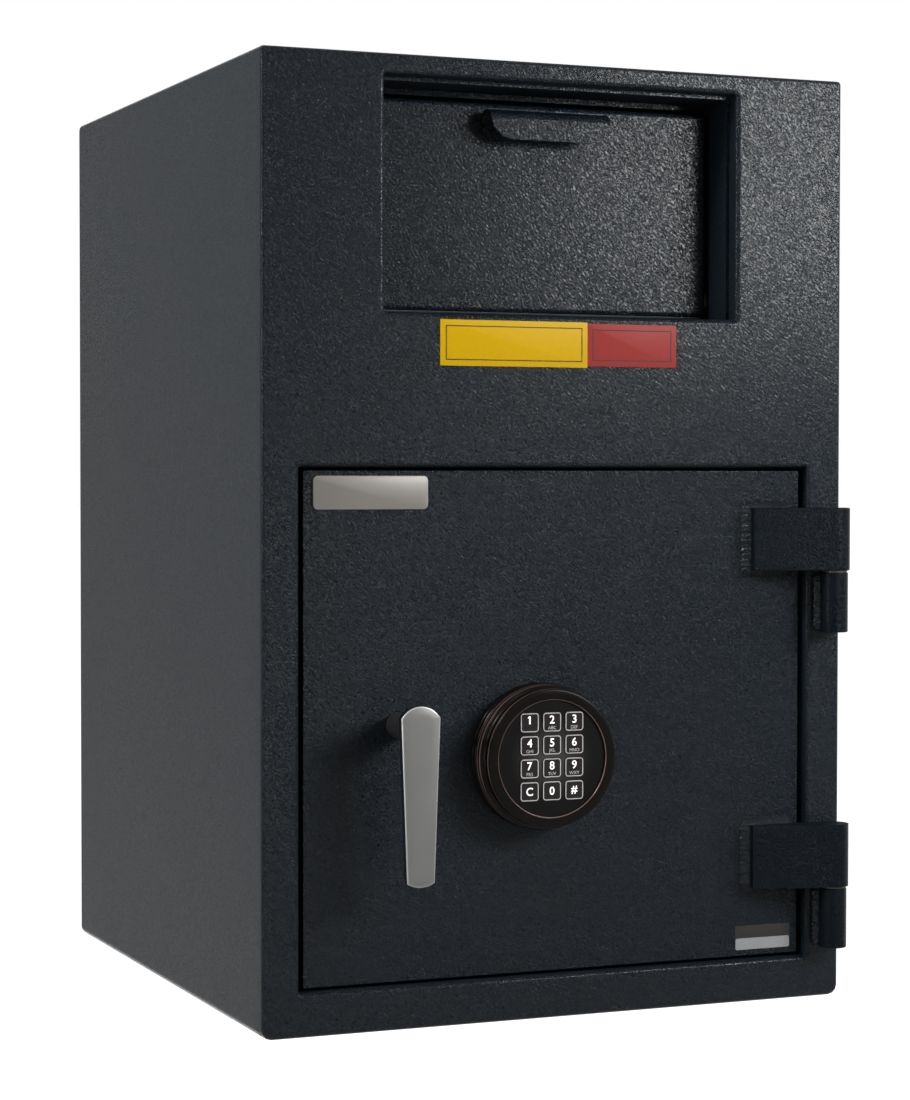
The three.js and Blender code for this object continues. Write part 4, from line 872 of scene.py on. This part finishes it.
# The crowned satin blade and the flared neck behind its upper end.
def makeLever():
    low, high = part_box("handle_lever")
    spindle = middleOf("handle_spindle")
    face = low.y + lever["crown"][-1][1]
    back = low.y + lever["thickness"]
    crowned, bright, painted = 0, 1, 2
    edge, backEdge = lever["edge"], lever["backEdge"]
    steps = [(backEdge, back, painted)]
    for inset, depth in arc((0, 0), 1, 0, 90, lever["backSteps"])[1:]:
        steps.append((backEdge * (1 - depth), back - backEdge * (1 - inset), painted))
    # The rounded front edge takes the rim finish: polished metal, lighter in colour as a painted highlight.
    for inset, depth in arc((0, 0), 1, 0, 90, lever["edgeSteps"]):
        steps.append((edge * (1 - inset), face + edge * (1 - depth), bright))
    for inset, rise in lever["crown"]:
        steps.append((inset, face - rise, crowned))
    outlines = [[(x, depth, z) for x, z in leverOutline(low, high, inset)] for inset, depth, band in steps]
    bm = loft(outlines, [band for inset, depth, band in steps[1:]])
    for item in bm.faces:
        if all(vert.co.y > face + edge - 1e-6 for vert in item.verts):
            item.material_index = painted
    blade = keepPiece(bm, "leverBlade", "handle", "satin", sharpAngle=40)
    blade.data.materials.append(finishes["rim"])
    blade.data.materials.append(finishes["slateWeld"])
    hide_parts("handle_lever")

    neckBack = high.y
    neckFront = low.y + lever["thickness"] * lever["neckStart"]
    flareFront = back
    flareBack = neckBack - lever["neckPlain"]
    profile = [(0, neckFront), (lever["flare"], neckFront), (lever["flare"], flareFront)]
    for step in range(1, lever["flareSteps"] + 1):
        share = step / lever["flareSteps"]
        radius = lever["neck"] + (lever["flare"] - lever["neck"]) * (1 - share) ** lever["flareBend"]
        profile.append((radius, flareFront + (flareBack - flareFront) * share))
    chamfer = lever["neckChamfer"]
    profile += [(lever["neck"], neckBack - chamfer), (lever["neck"] - chamfer, neckBack), (0, neckBack)]
    neck = turned(profile, lever["neckSegments"], (spindle.x, spindle.z))
    keepPiece(neck, "leverNeck", "handle", "neck", sharpAngle=45)


makeLever()
print("lever made")


# Hinges and their welds

hinge = {
    "edge": 1.1 * mm,
    "barrelEdge": 0.9 * mm,
    "endPast": 4 * mm,  # how far the strap's beads run past its corners
    "endShort": 6 * mm,  # how far they stop before the door's edge
    "underLeg": 4.4 * mm,
    "barrelSide": 8 * mm,
    "barrelShort": 1 * mm,
    "barrelLeg": 3.8 * mm,
}

weld = {
    "leg": 6.0 * mm,
    "step": 0.45 * mm,
    "ripple": 2.3 * mm,
    "rippleDepth": 0.1,
    "rippleBend": 0.3,
    "lump": 0.07,
    "reachWaves": (700, 1550),
    "riseWaves": (600, 1300),
    "hollow": 0.2,
    "endSize": 0.3,
    "uneven": 0.015,
    "parts": 8,
    "fewestSteps": 6,
    "phases": 6.28,
    "sink": 0.3 * mm,
    "seed": 11,
}


# A lumpy rise and fall along a bead, about one.
def lumpy(place, waves, phases):
    return 1 + weld["lump"] * sum(math.sin(place * wave + phase) for wave, phase in zip(waves, phases))


# A fillet of weld along the corner from start to end: out runs over the face, up along
# what stands on it.
def weldBead(name, start, end, body, out, up, leg=weld["leg"]):
    dice = random.Random(weld["seed"] + sum(ord(letter) for letter in name))
    phases = [dice.uniform(0, weld["phases"]) for wave in weld["reachWaves"] + weld["riseWaves"]]
    start, end, out, up = Vector(start), Vector(end), Vector(out), Vector(up)
    length = (end - start).length
    count = max(weld["fewestSteps"], int(length / weld["step"]))
    rings = []
    for step in range(count + 1):
        place = length * step / count
        nearEnd = math.sqrt(min(step, count - step) * length / count / leg)
        ends = min(1.0, weld["endSize"] + (1 - weld["endSize"]) * nearEnd)
        reach = lumpy(place, weld["reachWaves"], phases[:2])
        rise = lumpy(place, weld["riseWaves"], phases[2:])
        corner = start.lerp(end, step / count)
        ring = [corner - (out + up) * weld["sink"]]
        for part in range(weld["parts"] + 1):
            turn = math.radians(90 * part / weld["parts"])
            arch = math.sin(2 * turn)
            crescent = (place / weld["ripple"] - weld["rippleBend"] * arch) % 1.0
            size = leg * ends * (1 - weld["hollow"] * arch) * (1 - weld["rippleDepth"] * crescent * arch)
            size *= dice.uniform(1 - weld["uneven"], 1 + weld["uneven"])
            over, above = size * reach * math.cos(turn), size * rise * math.sin(turn)
            ring.append(corner + out * over + up * above)
        rings.append(ring)
    return keepPiece(loft(rings, [0] * count), name, body, "weldBead", sharpAngle=60)


# Smooth strap and knuckle for one hinge, with their weld beads.
def makeHinge(level):
    strap = nodes["hinge_strap_" + level]
    soften(strap, hinge["edge"])
    low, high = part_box("hinge_strap_" + level)
    doorLow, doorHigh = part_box("door_plate")
    face = doorLow.y
    left = low.x - hinge["endPast"]
    right = doorHigh.x - hinge["endShort"]
    name = "hinge_weld_" + level
    lower, upper = (low.x, face, low.z - hinge["endPast"]), (low.x, face, high.z + hinge["endPast"])
    weldBead(name + "_end", lower, upper, "door", (-1, 0, 0), outward)
    weldBead(name + "_top", (left, face, high.z), (right, face, high.z), "door", (0, 0, 1), outward)
    under = (left, face, low.z), (right, face, low.z)
    weldBead(name + "_under", *under, "door", (0, 0, -1), outward, hinge["underLeg"])
    barrelLow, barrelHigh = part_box("hinge_knuckle_" + level)
    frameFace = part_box("front_frame")[0].y
    soften(nodes["hinge_knuckle_" + level], hinge["barrelEdge"])
    centre = (barrelLow.x + barrelHigh.x) / 2
    for side, sign in (("left", -1), ("right", 1)):
        x = centre + sign * hinge["barrelSide"]
        bead = "knuckle_weld_" + level + "_" + side
        start = (x, frameFace, barrelLow.z + hinge["barrelShort"])
        end = (x, frameFace, barrelHigh.z - hinge["barrelShort"])
        weldBead(bead, start, end, "body", (sign, 0, 0), outward, hinge["barrelLeg"])


# Fixings on the inside of the door

fixing = {
    "beads": 4,
    "beadLength": 34 * mm,
    "beadLeg": 2.8 * mm,
    "head": 3.8 * mm,
    "headRise": 2.2 * mm,
    "headSide": 0.5,  # of its rise
    "headRound": 0.45,  # of its rise
    "headSteps": 5,
    "socket": 0.42,  # of its radius
    "socketFloor": 0.35,  # of its rise
    "headSegments": 24,
    "inset": 6.5 * mm,
}


# A low round screw head with a socket, standing on a face that looks backwards.
def makeScrew(name, body, at):
    head, rise = fixing["head"], fixing["headRise"]
    rounding = rise * fixing["headRound"]
    socket = head * fixing["socket"]
    socketFloor = at.y + rise * fixing["socketFloor"]
    profile = [(0, at.y), (head, at.y), (head, at.y + rise * fixing["headSide"])]
    profile += arc((head - rounding, at.y + rise - rounding), rounding, 0, 90, fixing["headSteps"])
    profile += [(socket, at.y + rise), (socket, socketFloor), (0, socketFloor)]
    bm = turned(profile, fixing["headSegments"], (at.x, at.z))
    return keepPiece(bm, name, body, "steel")


def makeDoorFixings():
    low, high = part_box("lock_case")
    for column, x in (("left", low.x + fixing["inset"]), ("right", high.x - fixing["inset"])):
        for row, z in (("lower", low.z + fixing["inset"]), ("upper", high.z - fixing["inset"])):
            makeScrew("lock_case_screw_" + row + "_" + column, "door", Vector((x, high.y, z)))
    guideLow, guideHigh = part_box("bolt_guide")
    barLow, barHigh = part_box("dead_bar")
    seams = {
        "guide_weld_outer": (guideLow.x, -1, guideLow, guideHigh),
        "guide_weld_inner": (guideHigh.x, 1, guideLow, guideHigh),
        "dead_bar_weld": (barLow.x, -1, barLow, barHigh),
    }
    for name, (x, sign, seamLow, seamHigh) in seams.items():
        pitch = (seamHigh.z - seamLow.z) / fixing["beads"]
        for index in range(fixing["beads"]):
            lowerEnd = seamLow.z + pitch * (index + 0.5) - fixing["beadLength"] / 2
            start = (x, seamLow.y, lowerEnd)
            end = (x, seamLow.y, lowerEnd + fixing["beadLength"])
            bead = name + "_" + str(index + 1)
            weldBead(bead, start, end, "door", (sign, 0, 0), inward, fixing["beadLeg"])


# CAD pieces kept as they are, with softened edges and a finish

softening = {
    "sharpAngle": math.radians(38),
    "joinReach": 0.01 * mm,
    "flatAngle": math.radians(0.4),
    "segments": 2,
}


# Geometry nodes that shade smooth, but keep edges over the sharp angle sharp.
def smoothGroup():
    group = bpy.data.node_groups.new("smoothByAngle", "GeometryNodeTree")
    group.interface.new_socket("Geometry", in_out="INPUT", socket_type="NodeSocketGeometry")
    group.interface.new_socket("Geometry", in_out="OUTPUT", socket_type="NodeSocketGeometry")
    entry = group.nodes.new("NodeGroupInput")
    leave = group.nodes.new("NodeGroupOutput")
    faces = group.nodes.new("GeometryNodeSetShadeSmooth")
    faces.domain = "FACE"
    edges = group.nodes.new("GeometryNodeSetShadeSmooth")
    edges.domain = "EDGE"
    edges.inputs["Shade Smooth"].default_value = False
    angle = group.nodes.new("GeometryNodeInputMeshEdgeAngle")
    sharp = group.nodes.new("FunctionNodeCompare")
    sharp.operation = "GREATER_THAN"
    sharp.inputs["B"].default_value = softening["sharpAngle"]
    group.links.new(entry.outputs[0], faces.inputs["Geometry"])
    group.links.new(faces.outputs["Geometry"], edges.inputs["Geometry"])
    group.links.new(angle.outputs["Unsigned Angle"], sharp.inputs["A"])
    group.links.new(sharp.outputs["Result"], edges.inputs["Selection"])
    group.links.new(edges.outputs["Geometry"], leave.inputs[0])
    return group


shadeGroup = smoothGroup()


# Joins the loose triangles, rounds the sharp edges a little and shades smoothly.
def soften(piece, edge=0.0):
    join = piece.modifiers.new("join", "WELD")
    join.merge_threshold = softening["joinReach"]
    plain = piece.modifiers.new("plain", "DECIMATE")
    plain.decimate_type = "DISSOLVE"
    plain.angle_limit = softening["flatAngle"]
    if edge > 0:
        bevel = piece.modifiers.new("edges", "BEVEL")
        bevel.width = edge
        bevel.segments = softening["segments"]
        bevel.limit_method = "ANGLE"
        bevel.angle_limit = softening["sharpAngle"]
        bevel.use_clamp_overlap = True
        bevel.harden_normals = False
    shade = piece.modifiers.new("shade", "NODES")
    shade.node_group = shadeGroup
    weights = piece.modifiers.new("weights", "WEIGHTED_NORMAL")
    weights.keep_sharp = True
    weights.mode = "FACE_AREA"


# Each piece's finish, with the width of its softened edges in mm. None where its own code
# softens or replaces it.
nodeLooks = {
    "slate": {
        "body_wrap": 0, "top_back_plate": 0, "front_frame": 0, "deposit_liner": 1.4, "deposit_baffle": 0.8,
        "drawer_front": 0, "drawer_pull": 0.7, "door_plate": 0,
    },
    "zinc": {
        "drawer_floor": 0.5, "drawer_cheek_left": 0.5, "drawer_cheek_right": 0.5, "drawer_stop_left": 0.5,
        "drawer_stop_right": 0.5, "handle_cam": 0.5, "bolt_carriage": 0.6, "bolt_guide": 0.7, "dead_bar": 0.7,
        "lock_case": 1.2,
    },
    "steel": {
        "pivot_pin_left": 0.4, "pivot_pin_right": 0.4, "hinge_pin_upper": 0.4, "hinge_pin_lower": 0.4,
        "handle_spindle": 0.4, "drive_pin": 0.4, "spindle_nut": 0.4, "bolt_lower": 0, "bolt_middle": 0,
        "bolt_upper": 0, "carriage_stud_lower": 0.5, "carriage_stud_upper": 0.5, "dial_spindle": 0.4,
    },
    "brass": {
        "pivot_bush_left": 0.3, "pivot_bush_right": 0.3, "hinge_washer_upper": 0.2, "hinge_washer_lower": 0.2,
        "spindle_bush": 0.3, "lock_bolt": 0.8,
    },
    "keypad": {"keypad_face": 0},
    "key": {key: 0 for key in keyLegends},
    "slateHinge": {
        "hinge_strap_upper": None, "hinge_strap_lower": None,
        "hinge_knuckle_upper": None, "hinge_knuckle_lower": None,
    },
    "bronze": {"dial_ring": None, "keypad_base": None},
    "satin": {"handle_lever": None},
}


def finishNode(name, finish, edge):
    mesh = nodes[name].data
    mesh.materials.clear()
    mesh.materials.append(finishes[finish])
    if edge is not None:
        soften(nodes[name], edge * mm)


for finishName, looks in nodeLooks.items():
    for nodeName, edgeWidth in looks.items():
        finishNode(nodeName, finishName, edgeWidth)
makeHinge("upper")
makeHinge("lower")
makeDoorFixings()
print("hinges and fixings made")


# Plates on the front, all bare

plates = {
    "yellow": {
        "width": 127.2 * mm, "height": 36.2 * mm, "thickness": 0.35 * mm,
        "corner": 0.4 * mm, "edge": 0.08 * mm, "middle": (-42.9 * mm, 538.8 * mm),
    },
    "red": {
        "width": 79.7 * mm, "height": 34 * mm, "thickness": 0.3 * mm,
        "corner": 0.4 * mm, "edge": 0.08 * mm, "middle": (60.5 * mm, 539 * mm),
    },
    "name": {
        "width": 95.9 * mm, "height": 26.5 * mm, "thickness": 1.3 * mm,
        "corner": 4 * mm, "edge": 0.5 * mm, "middle": (-162.4 * mm, 421.2 * mm),
    },
    "serial": {
        "width": 51.4 * mm, "height": 20.3 * mm, "thickness": 0.25 * mm,
        "corner": 2 * mm, "edge": 0.06 * mm, "middle": (185.5 * mm, 51.9 * mm),
    },
    "serialField": {
        "width": 50.4 * mm, "height": 9.4 * mm, "thickness": 0.1 * mm,
        "corner": 1.6 * mm, "edge": 0, "drop": 5 * mm,
    },
}

border = {"inset": 4.5 * mm, "corner": 0, "line": 0.8 * mm, "thickness": 0.06 * mm}


# The middle of a plate's back, on the face of the piece that carries it.
def plateSpot(name, carrier):
    x, z = plates[name]["middle"]
    return Vector((x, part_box(carrier)[0].y, z))


def makePlates():
    for name in ("yellow", "red"):
        look, at = plates[name], plateSpot(name, "front_frame")
        makePlate(name + "_plate", "body", name, look, at)
        line = dict(
            border, width=look["width"] - 2 * border["inset"], height=look["height"] - 2 * border["inset"],
        )
        top = at - Vector((0, look["thickness"], 0))
        makeOutline(name + "_border", "body", "blackInk", line, top)
    nameAt, serialAt = plateSpot("name", "door_plate"), plateSpot("serial", "door_plate")
    makePlate("name_plate", "door", "silver", plates["name"], nameAt)
    makePlate("serial_plate", "door", "blackInk", plates["serial"], serialAt)
    field = plates["serialField"]
    fieldAt = serialAt - Vector((0, plates["serial"]["thickness"], field["drop"]))
    makePlate("serial_field", "door", "paleInk", field, fieldAt)


makePlates()
print("plates made")

print("done")
